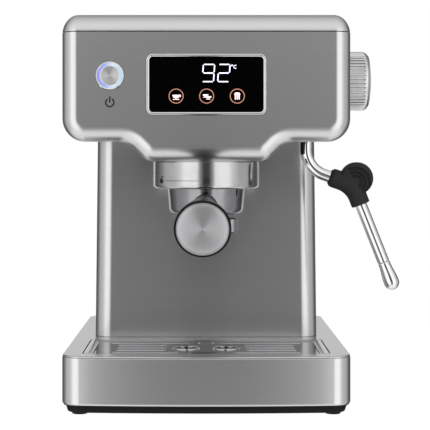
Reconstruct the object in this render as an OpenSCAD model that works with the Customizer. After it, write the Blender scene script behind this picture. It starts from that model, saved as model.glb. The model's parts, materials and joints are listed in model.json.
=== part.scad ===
// Espresso machine, modelled in millimetres.
// X runs to the right, Y to the back and Z up. The origin is the middle of the
// base's footprint, on the counter.

/* [Body] */
// Width of the base and of the head
body_w = 230; // [226:1:236]
// Depth of the base, with its bowed front
base_d = 290; // [286:1:300]
// Height over the top cover
body_h = 318; // [316:1:322]
// How far the base front bows out at its middle
front_bow = 5; // [3:0.5:7]
// Sheet thickness of the steel covers
sheet = 1.2; // [1:0.1:1.2]

/* [Base] */
// Radius of the two upright front corners of the base
base_front_r = 16; // [10:1:17]
// Radius of the two upright rear corners of the base
base_back_r = 9; // [7:1:12]
// Height of the steel band's lower edge
band_z = 8.3; // [8:0.1:9]
// Height of the deck
deck_z = 47.5; // [46:0.5:50]
// Thickness of the deck plate
deck_t = 1.5; // [1.2:0.1:2]

/* [Head] */
// Radius of the head's lower corners, seen from the front
head_low_r = 18.5; // [16:0.5:22]
// Radius of the head's front edges
head_edge_r = 12; // [10:1:13]
// Height of the two side wings' underside
wing_z = 216.6; // [214:0.2:220]
// Height of the middle lobe's underside, above the group
lobe_z = 200.8; // [199:0.2:203]
// Height of the seam under the top cover
seam_z = 303.7; // [302:0.1:305]

/* [Group and portafilter] */
// Distance of the group axis in front of the base's middle
group_front = 80; // [78:1:84]
// Outer diameter of the group collar
collar_d = 88; // [86:1:90]
// Height of the collar's lower edge
collar_z = 178.5; // [178:0.5:179]
// Height of the portafilter cup's underside
cup_z = 157.3; // [156:0.1:159]
// Turn of the handle away from straight forward
handle_yaw = -1.25; // [-2:0.25:0]
// Slope of the handle, down towards its end
handle_slope = 8; // [6:0.5:9]
// Turn from locked to unlocked
bayonet_turn = 56; // [50:1:58]

/* [Steam] */
// Distance of the wand's pivot to the right of the middle
wand_x = 83.7; // [83:0.1:86]
// Distance of the wand's pivot in front of the base's middle
wand_front = 75; // [72:1:78]
// Diameter of the wand's tube
wand_d = 10; // [9.4:0.1:10.4]
// Lean of the wand's lower tube off upright
wand_lean = 21.6; // [16:0.2:24]
// Diameter of the steam knob
knob_d = 50.5; // [48:0.5:52]
// Length of the steam knob
knob_l = 24; // [20:1:30]

/* [Drip tray and tank] */
// Width of the drip tray over its rim
tray_w = 197.4; // [194:0.2:198]
// Depth of the drip tray over its rim, front to back
tray_d = 90; // [88:1:92]
// Width of the tray's rim
tray_rim = 7.3; // [6.5:0.1:8]
// Height of the water tank's floor
tank_z = 52; // [51:1:54]

/* [Hidden] */

$fn = 96;
eps = 0.01;

base_front = -base_d / 2;
base_back = base_d / 2;
half_w = body_w / 2;
deck_low = deck_z - deck_t;

// Feet and pan
foot_r = 7.4;
foot_tip_r = 6;
foot_z = 3.2;
foot_x = 101;
foot_y = 125;
pan_z = 2.2;
pan_floor = 5.2;
screw_seat_z = 3.8;
screw_well_r = 3.8;

// Column
column_front = -23;
column_back = 138;
column_w_low = 195.4;
column_w_high = 191.5;
column_r = 15;
column_top = 219.4;

// Head
head_front = base_front + 8;
head_back = 140;
cover_back = head_front + 20;
housing_z = wing_z + 3;
housing_low_r = 18;
head_wall = 2.4;
lobe_half = 42;
lobe_top_half = 58;

// Bay for the tank
bay_half = 92.2;
bay_front = 58;
bay_wall = 2;

// Display, button and knob
display_x = 0;
display_z = 261.8;
bezel_w = 94.8;
bezel_h = 48.4;
bezel_frame = 2.3;
button_x = -76.3;
button_z = 268.8;
button_r = 7.7;
rim_r = 11.25;
knob_y = -45;
knob_z = 269.8;
spindle_r = 3.95;
spindle_gap = 0.05;

// Group
group_y = -group_front;
collar_r = collar_d / 2;
collar_wall = 3.5;
collar_in = collar_r - collar_wall;
group_r = collar_in - 0.3;
bayonet_r = 35;
channel_r = 38.4;
lug_r = 37.6;
lip_z = collar_z + 1;
channel_z = 186;
group_roof = 199.5;
group_top = 212;
lug_turns = [30, 150, 270];

// Portafilter
cup_r_top = 32.25;
cup_r_low = 30.85;
cup_top = 191.4;
cup_wall = 2.2;
rim_z = 191.6;
handle_z = 166.2;
handle_start = 33;
handle_r = 21.1;

// Wand
wand_y = -wand_front;
wand_bend_r = 22;
wand_bend_z = 210.7;
wand_first_lean = 70;
grip_x = 122.9;
grip_z = 181.1;
elbow_r = 24;
sleeve_r = 7.9;
upper_sleeve = 21.3;
lower_sleeve = 17.4;
finger_disc_r = 13.5;
nozzle_start = 69;
nozzle_end = 93.5;

// Tray and grille
tray_back = -37;
tray_front = tray_back - tray_d;
grille_z = 46.3;
grille_t = 1.2;
slot_w = 2.6;
row_pitch = 14.35;
first_row = tray_back - 17.7;
drain_x = 16.6;
drain_y = -87;
drain_r = 11.2;

// Tank
tank_half = 89;
tank_front = 65;
tank_rear = 135;
tank_top = 299;
tank_wall = 2;
dock_y = 100;
hinge_y = 65;
hinge_z = 314.5;
arm_x = 60;
pin_r = 1.5;

// ---------- shared shapes ----------

// Rectangle from y0 to y1 with one radius at its low-y corners and one at its high-y corners
module slab(w, y0, y1, r0, r1) {
    translate([-w / 2, y0 + r0]) square([w, y1 - r1 - y0 - r0]);
    translate([-w / 2 + r0, y0]) square([w - 2 * r0, r0 + eps]);
    translate([-w / 2 + r1, y1 - r1 - eps]) square([w - 2 * r1, r1 + eps]);
    for (s = [-1, 1]) {
        translate([s * (w / 2 - r0), y0 + r0]) circle(r0);
        translate([s * (w / 2 - r1), y1 - r1]) circle(r1);
    }
}

// Slot outline along X from x0 to x1
module slot2d(x0, x1, w) {
    translate([x0 + w / 2, -w / 2]) square([x1 - x0 - w, w]);
    for (x = [x0 + w / 2, x1 - w / 2]) translate([x, 0]) circle(w / 2, $fn = 32);
}

// Plan outline of the base, inset all round, with the bowed front
module base_outline(inset = 0) {
    bow_r = (half_w * half_w + front_bow * front_bow) / (2 * front_bow);
    side_x = half_w - base_front_r;
    reach = bow_r - base_front_r;
    corner_y = base_front + bow_r - sqrt(reach * reach - side_x * side_x);
    tangent_x = side_x * (1 + (base_front_r - inset) / reach);
    hull() for (s = [-1, 1]) {
        translate([s * side_x, corner_y]) circle(base_front_r - inset);
        translate([s * (half_w - base_back_r), base_back - base_back_r]) circle(base_back_r - inset);
    }
    intersection() {
        translate([0, base_front + bow_r]) circle(bow_r - inset, $fn = 1440);
        translate([-tangent_x, base_front - 1]) square([2 * tangent_x, 2 * base_front_r]);
    }
}

// Ring between two insets of the base outline
module base_ring(outer, inner, z0, z1) {
    translate([0, 0, z0]) linear_extrude(z1 - z0) difference() {
        base_outline(outer);
        base_outline(inner);
    }
}

// Tube between two radii
module tube(r_out, r_in, h) {
    difference() {
        cylinder(r = r_out, h = h);
        translate([0, 0, -1]) cylinder(r = r_in, h = h + 2);
    }
}

// Block with its low corner at p
module block(p, s) {
    translate(p) cube(s);
}

// Rod or bore from one point to another
module rod(a, b, r) {
    d = b - a;
    l = norm(d);
    translate(a) rotate([0, acos(d[2] / l), atan2(d[1], d[0])]) cylinder(r = r, h = l, $fn = 32);
}

// Hose through a list of points, with round elbows a little fatter than its runs
module hose(points, r) {
    for (i = [1 : len(points) - 1]) rod(points[i - 1], points[i], r);
    for (i = [1 : len(points) - 2]) translate(points[i]) sphere(r + 0.1, $fn = 32);
}

// Places children at the group axis, turned with the portafilter
module at_group() {
    translate([0, group_y, 0]) rotate([0, 0, handle_yaw]) children();
}

// Places children along the handle, +Z pointing to its end, measured from the group axis
module along_handle() {
    at_group() translate([0, -handle_start, handle_z]) rotate([90 + handle_slope, 0, 0]) children();
}

// Places children on the wand's lower tube, +Z pointing to its tip
module along_lower_tube() {
    translate([grip_x, wand_y, grip_z]) rotate([0, 180 - wand_lean, 0]) children();
}

// ---------- base ----------

module at_feet() {
    for (sx = [-1, 1], sy = [-1, 1]) translate([sx * foot_x, sy * foot_y, 0]) children();
}

module rubber_feet() {
    color("#181818") at_feet() rotate_extrude()
        polygon([[0, 0], [foot_tip_r, 0], [foot_r, foot_z], [2.4, foot_z],
                 [2.4, pan_floor], [0, pan_floor]]);
}

module base_pan() {
    color("#1c1c1e") difference() {
        union() {
            translate([0, 0, pan_z]) linear_extrude(pan_floor - pan_z) base_outline(3);
            base_ring(3, 5, pan_floor - eps, band_z + eps);
            base_ring(0.8, 5, band_z - 0.8, band_z);
            base_ring(1.4, 5, band_z - eps, band_z + 3.7);
        }
        at_feet() translate([0, 0, pan_z - 1]) cylinder(r = foot_r + 0.2, h = foot_z - pan_z + 1);
        at_feet() translate([0, 0, 0]) cylinder(r = 2.5, h = 20);
        at_screws() cylinder(r = 2.1, h = 20);
        at_screws() cylinder(r = screw_well_r, h = screw_seat_z);
    }
}

module base_shell() {
    color("#8b8c8e") difference() {
        base_ring(0, sheet, band_z, deck_low);
        translate([-70, base_back - 6, 26]) rotate([-90, 0, 0]) cylinder(r = 8.1, h = 12);
    }
}

module deck_plate() {
    color("#b9babc") translate([0, 0, deck_low]) linear_extrude(deck_t) difference() {
        base_outline(0.5);
        slab(tray_w + 1, tray_front - 0.5, tray_back + 0.5, 6, 6);
        translate([0, 18]) square([170, 66], center = true);
        translate([0, dock_y]) circle(15.2);
    }
}

// Open black box that the tray drops into
module tray_well() {
    color("#202022") difference() {
        translate([0, 0, pan_floor]) linear_extrude(deck_low - pan_floor)
            slab(tray_w + 5, tray_front - 2.5, tray_back + 2.5, 7, 7);
        translate([0, 0, pan_floor + 2.3]) linear_extrude(deck_z)
            slab(tray_w - 2, tray_front + 1, tray_back - 1, 5, 5);
    }
}

module at_screws() {
    for (sx = [-1, 1], y = [-136, 20, 112]) translate([sx * 84, y, 0]) children();
}

// Round-headed screws under the pan and on the back of the head
module body_screws() {
    color("#8a8a8c") {
        at_screws() {
            translate([0, 0, screw_seat_z - 1.2]) cylinder(r = 3.4, h = 1.2);
            translate([0, 0, screw_seat_z - eps]) cylinder(r = 1.9, h = 7.4);
        }
        for (sx = [-1, 1], z = [232, 292]) translate([sx * 104, head_back, z]) rotate([-90, 0, 0]) {
            cylinder(r = 3.2, h = 1.6);
            translate([0, 0, -7]) cylinder(r = 1.5, h = 7 + eps);
        }
    }
}

module power_gland() {
    color("#1b1b1b") translate([-70, base_back, 26]) rotate([-90, 0, 0]) rotate_extrude()
        polygon([[3.6, -9], [10.5, -9], [10.5, -6], [8, -4], [8, 0], [10.5, 0], [10.5, 1.6],
                 [9.5, 2.6], [3.6, 2.6]]);
}

module tank_dock() {
    color("#2a2a2c") translate([0, dock_y, 0]) difference() {
        union() {
            translate([0, 0, 38]) cylinder(r = 15, h = 10.5);
            translate([0, 0, 30]) cylinder(r = 4, h = 8 + eps);
        }
        translate([0, 0, 42]) cylinder(r = 8.5, h = 10);
        translate([0, 0, 24]) cylinder(r = 2, h = 30);
    }
}

// ---------- column and inner frame ----------

// Bent steel frame: floor, two posts and a top plate
module chassis() {
    color("#9a9c9e") difference() {
        union() {
            block([-90, -18, deck_z], [180, 74, 1.6]);
            for (x = [-90, 88.4]) block([x, -18, deck_z], [1.6, 74, column_top - deck_z]);
            block([-90, -18, column_top - 1.6], [180, 74, 1.6]);
        }
        block([-84, -6, 40], [84, 52, 20]);
        block([-70, -10, column_top - 5], [140, 50, 10]);
        for (s = [-1, 1]) translate([s * 75, 19, 0]) cylinder(r = 6, h = 300);
    }
}

// Column that narrows a little towards the head
module tapered_column(inset, z0, z1, y1) {
    half = column_w_low / 2 - column_r;
    narrowing = [column_w_high / column_w_low, 1];
    translate([0, 0, z0]) linear_extrude(z1 - z0, scale = narrowing, slices = 1) hull() {
        for (s = [-1, 1]) translate([s * half, column_front + column_r]) circle(column_r - inset, $fn = 64);
        translate([-column_w_low / 2 + inset, column_front + column_r]) square([column_w_low - 2 * inset, y1]);
    }
}

module column_skin() {
    color("#6f7072") difference() {
        tapered_column(0, deck_z, column_top, column_back);
        tapered_column(sheet, deck_z - 1, column_top + 1, column_back + 5);
        block([-100, column_back, 0], [200, 100, 300]);
    }
}

// Black liner between the works and the tank
module tank_bay() {
    wall_x = bay_half + bay_wall;
    color("#232325") {
        block([-wall_x, bay_front, deck_z], [2 * wall_x, bay_wall, seam_z - deck_z - 0.2]);
        for (x = [-wall_x, bay_half])
            block([x, bay_front, deck_z], [bay_wall, head_back - bay_front - 2.2, seam_z - deck_z - 0.2]);
    }
}

// ---------- head ----------

// Front block of the head with round lower corners and round front edges
module wing_block(inset, top) {
    r = head_edge_r - inset;
    low = head_low_r - head_edge_r;
    y = head_front + head_edge_r;
    hull() for (s = [-1, 1]) {
        for (a = [0 : 30 : 90]) translate([s * (half_w - head_low_r + low * cos(a)), y,
                                           wing_z + head_low_r - low * sin(a)]) sphere(r, $fn = 32);
        translate([s * (half_w - head_low_r), cover_back + 6, wing_z + head_low_r]) rotate([90, 0, 0])
            cylinder(r = head_low_r - inset, h = 1, $fn = 48);
        translate([s * (half_w - head_edge_r), y, top - 1]) cylinder(r = r, h = 1, $fn = 32);
        translate([s * (half_w - inset - 0.5) - 0.5, cover_back + 5, top - 1]) cube(1);
    }
}

// Lobe that drops in the middle of the head's front
module lobe_block(inset) {
    r = head_edge_r - inset;
    hull() for (s = [-1, 1], p = [[lobe_half - 6, lobe_z + head_edge_r],
                                  [lobe_top_half, wing_z + head_edge_r + 4]]) {
        translate([s * p[0], head_front + head_edge_r, p[1]]) sphere(r, $fn = 32);
        translate([s * p[0], cover_back + 6, p[1]]) rotate([90, 0, 0]) cylinder(r = r, h = 1, $fn = 32);
    }
}

module head_front_cover() {
    color("#87888a") difference() {
        union() {
            wing_block(0, seam_z);
            lobe_block(0);
        }
        wing_block(head_wall, seam_z + 5);
        lobe_block(head_wall);
        block([-half_w - 1, cover_back, 0], [body_w + 2, 40, 400]);
        block([display_x - bezel_w / 2 + 1, head_front - 5, display_z - bezel_h / 2 + 1],
              [bezel_w - 2, 20, bezel_h - 2]);
        translate([button_x, head_front - 5, button_z]) rotate([-90, 0, 0]) cylinder(r = rim_r - 0.6, h = 20);
        translate([0, group_y, lobe_z - 5]) cylinder(r = collar_in + 0.3, h = 20);
    }
}

// Outline of the head behind its front cover, seen from the front
module wing_outline(inset) {
    mid = housing_z + housing_low_r;
    translate([-half_w + inset, mid]) square([body_w - 2 * inset, seam_z - mid]);
    translate([-half_w + housing_low_r, housing_z + inset])
        square([body_w - 2 * housing_low_r, housing_low_r - inset + eps]);
    for (s = [-1, 1]) translate([s * (half_w - housing_low_r), mid]) circle(housing_low_r - inset);
}

// Extrudes a front outline from y0 back to y1
module along_y(y0, y1) {
    translate([0, y1, 0]) rotate([90, 0, 0]) linear_extrude(y1 - y0) children();
}

module head_housing() {
    color("#7f8082") difference() {
        along_y(cover_back, head_back) wing_outline(0);
        along_y(cover_back - 1, head_back - 2) wing_outline(2);
        block([-half_w + 2, cover_back - 1, seam_z - 3], [body_w - 4, head_back - cover_back - 1, 10]);
        block([-bay_half - 2.3, -24, housing_z - 5], [2 * bay_half + 4.6, 200, 200]);
        block([-lobe_top_half, cover_back - 1, housing_z - 5], [2 * lobe_top_half, 200, 12]);
        translate([wand_x, wand_y, housing_z - 5]) cylinder(r = 8, h = 12);
        translate([half_w - 10, knob_y, knob_z]) rotate([0, 90, 0]) cylinder(r = 7, h = 20);
        for (s = [-1, 1], i = [0 : 5])
            block([s * 104 - 5, head_back - 5, 245 + 6 * i], [10, 10, 2.4]);
        for (sx = [-1, 1], z = [232, 292]) translate([sx * 104, head_back - 9, z]) rotate([-90, 0, 0])
            cylinder(r = 1.6, h = 12);
    }
    // Bridge that ties the two wings together behind the front cover
    color("#7f8082") block([-half_w + 1, cover_back + 1, seam_z - 14], [body_w - 2, 2, 13]);
}

// Underside of the lobe, from the front cover back to the column
module lobe_skirt() {
    color("#2b2b2d") difference() {
        along_y(cover_back, column_front - 0.3)
            polygon([[-lobe_half, lobe_z], [lobe_half, lobe_z], [lobe_top_half - 0.4, wing_z],
                     [lobe_top_half - 0.4, housing_z], [-lobe_top_half + 0.4, housing_z],
                     [-lobe_top_half + 0.4, wing_z]]);
        translate([0, group_y, lobe_z - 5]) cylinder(r = collar_in + 0.3, h = 30);
    }
}

// Top cover's outer shape, shrunk by an inset
module cover_block(inset) {
    r = 13 - inset;
    hull() for (s = [-1, 1], y = [head_front + 14, head_back - 14]) {
        translate([s * (half_w - 14), y, body_h - 13]) sphere(r, $fn = 32);
        translate([s * (half_w - 14), y, seam_z]) cylinder(r = 14 - inset, h = 1, $fn = 32);
    }
}

module warmer_outline(inset) {
    slab(2 * 96 - 2 * inset, -112 + inset, 48 - inset, 10 - inset, 10 - inset);
}

module top_cover() {
    color("#98999b") difference() {
        union() {
            difference() {
                cover_block(0);
                translate([0, 0, -eps]) cover_block(2.2);
            }
            difference() {
                translate([0, 0, 311]) linear_extrude(body_h - 311 - 2) warmer_outline(-2);
                translate([0, 0, 300]) linear_extrude(20) warmer_outline(6);
            }
        }
        translate([0, 0, 313.4]) linear_extrude(10) warmer_outline(0);
        block([-bay_half - 0.4, 61.5, 290], [2 * bay_half + 0.8, 100, 40]);
        block([-body_w, -base_d, seam_z - 30], [2 * body_w, 2 * base_d, 30]);
    }
}

// Shallow steel dish on top that keeps cups warm
module cup_warmer() {
    color("#a9aaac") difference() {
        translate([0, 0, 313.5]) linear_extrude(3.9) warmer_outline(0.3);
        translate([0, 0, 314.7]) linear_extrude(5) warmer_outline(1.5);
        for (x = [-80 : 20 : 80]) translate([x, -32, 300]) linear_extrude(20)
            rotate(90) slot2d(-62, 62, 3);
    }
}

// ---------- controls ----------

module bezel_outline(inset, r) {
    translate([display_x, 0]) slab(bezel_w - 2 * inset, display_z - bezel_h / 2 + inset,
                                   display_z + bezel_h / 2 - inset, r, r);
}

module display_bezel() {
    color("#c9cacc") difference() {
        union() {
            along_y(head_front - 1, head_front) bezel_outline(0, 5);
            along_y(head_front - eps, head_front + 4) bezel_outline(1.2, 4);
        }
        along_y(head_front - 2, head_front + 6) bezel_outline(bezel_frame, 3.2);
    }
}

module display_glass() {
    color("#0a0a0c") along_y(head_front - 0.4, head_front + 3) bezel_outline(bezel_frame + 0.05, 3.1);
}

module display_board() {
    color("#1d5a3c") {
        block([display_x - 43, head_front + 5, display_z - 20], [86, 1.6, 40]);
        block([display_x - 20, head_front + 3.2, display_z - 4], [40, 1.9, 18]);
        for (i = [-1 : 1]) block([display_x - 3 + 26 * i, head_front + 3.2, display_z - 16], [6, 1.9, 6]);
        block([display_x + 24, head_front + 6.5, display_z - 8], [14, 5, 16]);
    }
}

// Turns a revolved shape to face the front, at the power button
module at_button() {
    translate([button_x, head_front, button_z]) rotate([-90, 0, 0]) children();
}

module button_bezel() {
    color("#c4c5c7") at_button() rotate_extrude()
        polygon([[10.6, 3], [10.6, -0.2], [rim_r, -0.2], [rim_r, -1], [rim_r - 0.5, -1.4], [10.3, -1.4],
                 [9.9, -0.9], [9.9, 3]]);
}

module button_light_ring() {
    color("#a9d8ff") at_button() rotate_extrude()
        polygon([[button_r + 0.2, -0.6], [9.8, -0.6], [9.8, 2.6], [button_r + 0.2, 2.6]]);
}

module power_button() {
    color("#b7b9bc") at_button() rotate_extrude()
        polygon([[0, -2.2], [button_r - 0.9, -2.2], [button_r, -1.5], [button_r, 3], [3, 3], [3, 6.4], [0, 6.4]]);
}

// Coil spring's outer and inner size, behind the button
module button_spring() {
    color("#b0b0b2") at_button() translate([0, 0, 3.1]) tube(5.6, 4.4, 6.7);
}

module button_switch() {
    color("#2e2e30") at_button() {
        difference() {
            translate([-8, -8, 10]) cube([16, 16, 7]);
            translate([0, 0, 9]) cylinder(r = 2.2, h = 2.4);
        }
        for (x = [-4, 4]) translate([x - 0.5, -2, 17 - eps]) cube([1, 4, 5]);
    }
}

// ---------- group ----------

module group_collar() {
    color("#d4d5d7") translate([0, group_y, 0]) rotate_extrude()
        polygon(concat([[collar_in, lobe_z - 0.05], [collar_in, collar_z + 0.5]],
                       [for (a = [0 : 15 : 90]) [collar_r - 3 + 3 * sin(a), collar_z + 3 - 3 * cos(a)]],
                       [[collar_r, lobe_z - 0.05]]));
}

// Brass body with the bayonet: a lip with three entries and a channel above it
module group_head() {
    color("#b58b4a") translate([0, group_y, 0]) difference() {
        rotate_extrude() polygon([
            [2.2, group_top], [group_r, group_top], [group_r, lip_z], [bayonet_r, lip_z],
            [bayonet_r, channel_z], [channel_r, channel_z], [channel_r, channel_z + 5.4],
            [36.2, channel_z + 5.4], [36.2, group_roof], [27.2, group_roof], [27.2, group_roof - 4],
            [2.2, group_roof - 4]]);
        for (a = lug_turns) rotate([0, 0, a + handle_yaw - bayonet_turn - 14]) translate([0, 0, lip_z - 1])
            rotate_extrude(angle = 28) translate([bayonet_r - 1, 0]) square([channel_r - bayonet_r + 0.8, 10]);
    }
}

module group_gasket() {
    color("#b4502e") translate([0, group_y, 192.6]) tube(35.9, 27.5, group_roof - 192.6);
}

module shower_screen() {
    color("#c9cacc") translate([0, group_y, 193.4]) difference() {
        cylinder(r = 27, h = 2);
        translate([0, 0, -1]) cylinder(r = 2.3, h = 4);
        for (k = [1 : 3], i = [0 : 6 * k - 1]) rotate([0, 0, i * 60 / k]) translate([7 * k, 0, -1])
            cylinder(r = 0.9, h = 4, $fn = 16);
    }
}

module screen_screw() {
    color("#9fa0a2") translate([0, group_y, 0]) {
        translate([0, 0, 191.8]) cylinder(r = 4, h = 1.6);
        translate([0, 0, 193.4 - eps]) cylinder(r = 2.1, h = 8);
    }
}

// ---------- works ----------

module thermoblock() {
    color("#a3a5a8") difference() {
        union() {
            translate([0, group_y, group_top + 0.2]) cylinder(r = 24, h = 10);
            block([-50, -112, group_top + 10], [100, 82, 26]);
            for (i = [0 : 6]) block([-42 + 13 * i, -108, group_top + 36 - eps], [6, 74, 6]);
            for (x = [-30, 30]) translate([x, -30 - eps, group_top + 23]) rotate([-90, 0, 0]) {
                cylinder(r = 5, h = 6);
                cylinder(r = 2.4, h = 16);
            }
        }
        translate([0, group_y, group_top - 1]) cylinder(r = 2.2, h = 14);
    }
}

module temperature_sensors() {
    color("#d8d2c2") for (x = [-32.5, 19.5]) {
        translate([x, -50, group_top + 36.3]) cylinder(r = 2.8, h = 7);
        translate([x, -50, group_top + 43.3 - eps]) cylinder(r = 4.5, h = 5);
    }
}

module pump() {
    color("#3c3d40") translate([20, 19, 92]) rotate([0, -90, 0]) translate([0, 0, -46]) {
        translate([-24, -24, 28]) cube([48, 48, 40]);
        cylinder(r = 15, h = 28 + eps);
        translate([0, 0, 68 - eps]) cylinder(r = 11, h = 18);
        translate([0, 0, -12]) cylinder(r = 4, h = 12 + eps);
        translate([0, 0, 86 - eps]) cylinder(r = 4, h = 10);
    }
}

// Rubber blocks that carry the pump on the frame's floor
module pump_mounts() {
    color("#161616") for (m = [[46, 15.1], [-17, 11.1]]) difference() {
        block([m[0], -1, deck_z + 1.7], [12, 40, 42]);
        translate([m[0] - 1, 19, 92]) rotate([0, 90, 0]) cylinder(r = m[1], h = 14);
    }
}

module flow_meter() {
    color("#d9d9d6") translate([-55, 19, 150]) {
        cylinder(r = 16, h = 18);
        translate([-8, 0, -10]) cylinder(r = 2.4, h = 11);
        translate([8, 0, 17]) cylinder(r = 2.4, h = 11);
    }
}

module brew_valve() {
    color("#4a4c50") translate([58, 19, 150]) {
        block([-15, -15, 0], [30, 30, 36]);
        translate([0, 0, 36 - eps]) cylinder(r = 8, h = 16);
        rod([-14, 0, 8], [-26, 0, 8], 2.4);
    }
}

// Steam valve with its bore along X for the spindle
module steam_valve() {
    color("#b08a4e") difference() {
        union() {
            translate([72, knob_y, knob_z]) rotate([0, 90, 0]) cylinder(r = 10, h = 36);
            block([64, knob_y - 11, knob_z - 12], [18, 22, 24]);
            rod([66, knob_y, knob_z], [56, knob_y, knob_z], 2.4);
            rod([73, knob_y, knob_z - 11], [73, knob_y, knob_z - 22], 3);
        }
        translate([80, knob_y, knob_z]) rotate([0, 90, 0]) cylinder(r = spindle_r + spindle_gap, h = 40);
    }
}

module water_hoses() {
    color("#e4e6e8") {
        // tank to flow meter, flow meter to pump, pump to thermoblock
        hose([[0, dock_y, 29.8], [0, dock_y, 18], [-63, 19, 18], [-63, 19, 139.8]], 4);
        hose([[-47, 19, 178.2], [-47, 19, 192], [-34, 19, 192], [-34, 19, 92], [-30.2, 19, 92]], 3.5);
        hose([[78.2, 19, 92], [84, 19, 92], [84, 19, 206], [30, 10, 235], [30, -13.8, 235]], 3);
        // thermoblock to brew valve
        hose([[-30, -13.8, 235], [-30, 10, 235], [20, 19, 200], [20, 19, 158], [31.8, 19, 158]], 3);
        // thermoblock to steam valve, steam valve to wand
        hose([[55.8, knob_y, knob_z], [44, knob_y, knob_z], [44, knob_y, 254.3]], 2.4);
        hose([[73, knob_y, 247.6], [73, knob_y, 243], [wand_x, wand_y, 243], [wand_x, wand_y, 233.8]], 2.4);
    }
}

// Steam pipe's joint under the right wing, with the wand's swivel bore
module wand_socket() {
    color("#303032") translate([wand_x, wand_y, 0]) difference() {
        union() {
            translate([0, 0, housing_z - 0.6]) cylinder(r = 9, h = 0.55);
            translate([0, 0, housing_z - 0.1]) cylinder(r = 7.7, h = 14);
        }
        translate([0, 0, 200]) cylinder(r = wand_d / 2 + 0.02, h = 40);
    }
}

module control_board() {
    color("#2d6b47") {
        block([-84, 50, 232], [120, 1.6, 62]);
        for (x = [-76, -54]) block([x, 34, 240], [18, 16 + eps, 22]);
        translate([-20, 50 + eps, 252]) rotate([90, 0, 0]) cylinder(r = 8, h = 22);
        block([6, 38, 240], [22, 12 + eps, 30]);
        for (i = [0 : 4]) block([-76 + 14 * i, 44, 276], [9, 6 + eps, 10]);
    }
}

// ---------- steam knob ----------

module at_knob() {
    translate([half_w, knob_y, knob_z]) rotate([0, 90, 0]) children();
}

module steam_knob() {
    rib_count = 44;
    color("#c2c3c5") at_knob() difference() {
        union() {
            translate([0, 0, 1]) cylinder(r = knob_d / 2, h = knob_l - 3);
            translate([0, 0, knob_l - 2 - eps]) cylinder(r = knob_d / 2 - 1.6, h = 0.8);
        }
        for (i = [0 : rib_count - 1]) rotate([0, 0, i * 360 / rib_count])
            translate([knob_d / 2 + 0.5, 0, 4]) cylinder(r = 1.3, h = knob_l, $fn = 24);
        translate([0, 0, -1]) cylinder(r = 20, h = 8);
        translate([0, 0, -1]) cylinder(r = spindle_r, h = 19);
    }
}

module knob_cap() {
    color("#d0d1d3") at_knob() translate([0, 0, knob_l - 1.2]) rotate_extrude()
        polygon([[0, 0], [knob_d / 2 - 2.2, 0], [knob_d / 2 - 2.6, 0.8], [knob_d / 2 - 8, 1.2 + 0.5], [0, 2.2]]);
}

module valve_spindle() {
    color("#c7a86a") at_knob() translate([0, 0, -30]) cylinder(r = spindle_r, h = 48);
}

// ---------- wand ----------

module wand_tube() {
    color("#dcdddf") translate([wand_x, wand_y, 0]) {
        translate([0, 0, wand_bend_z - 0.5]) cylinder(r = wand_d / 2 - 0.03, h = 20.5);
        translate([wand_bend_r, 0, wand_bend_z]) rotate([90, 0, 0]) rotate([0, 0, 180])
            rotate_extrude(angle = wand_first_lean) translate([wand_bend_r, 0]) circle(wand_d / 2, $fn = 48);
        translate([wand_bend_r * (1 - cos(wand_first_lean)), 0, wand_bend_z - wand_bend_r * sin(wand_first_lean)])
            rotate([0, 180 - wand_first_lean, 0]) translate([0, 0, -0.5]) cylinder(r = wand_d / 2 - 0.03, h = 12.5);
    }
}

module wand_grip() {
    half_turn = (wand_first_lean - wand_lean) / 2;
    leg = elbow_r * tan(half_turn);
    elbow_x = grip_x + leg * sin(wand_lean) - elbow_r * cos(wand_lean);
    elbow_z = grip_z - leg * cos(wand_lean) - elbow_r * sin(wand_lean);
    color("#2c2c2e") difference() {
        union() {
            translate([elbow_x, wand_y, elbow_z]) rotate([90, 0, 0]) rotate([0, 0, wand_lean])
                rotate_extrude(angle = 2 * half_turn) translate([elbow_r, 0]) circle(sleeve_r, $fn = 64);
            translate([grip_x, wand_y, grip_z]) rotate([0, -wand_first_lean, 0]) rotate_extrude()
                polygon([[0, leg - 0.5], [sleeve_r - 0.03, leg - 0.5], [sleeve_r - 0.03, upper_sleeve - 2.5],
                         [wand_d / 2 + 0.4, upper_sleeve], [0, upper_sleeve]]);
            along_lower_tube() translate([0, 0, leg - 0.5])
                cylinder(r = sleeve_r - 0.03, h = lower_sleeve - leg + 0.5);
            translate([grip_x + 2.7, wand_y + 7.5, grip_z + 5.8]) rotate([90, 0, 0])
                cylinder(r = finger_disc_r, h = 15);
        }
        translate([grip_x, wand_y, grip_z]) rotate([0, -wand_first_lean, 0])
            translate([0, 0, 14.2]) cylinder(r = wand_d / 2 + 0.02, h = 20);
        along_lower_tube() translate([0, 0, 4]) cylinder(r = wand_d / 2 + 0.02, h = 40);
    }
}

module wand_lower_tube() {
    color("#dcdddf") along_lower_tube() translate([0, 0, 4.2]) cylinder(r = wand_d / 2, h = nozzle_start - 4.4);
}

module wand_nozzle() {
    color("#d2d3d5") along_lower_tube() difference() {
        rotate_extrude() polygon(concat(
            [[0, nozzle_start], [wand_d / 2, nozzle_start], [6.4, nozzle_end - 6.4]],
            [for (a = [15 : 15 : 90]) [6.4 * cos(a), nozzle_end - 6.4 + 6.4 * sin(a)]]));
        translate([0, 0, nozzle_end - 4]) cylinder(r = 0.8, h = 10, $fn = 24);
    }
}

// ---------- portafilter ----------

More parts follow.
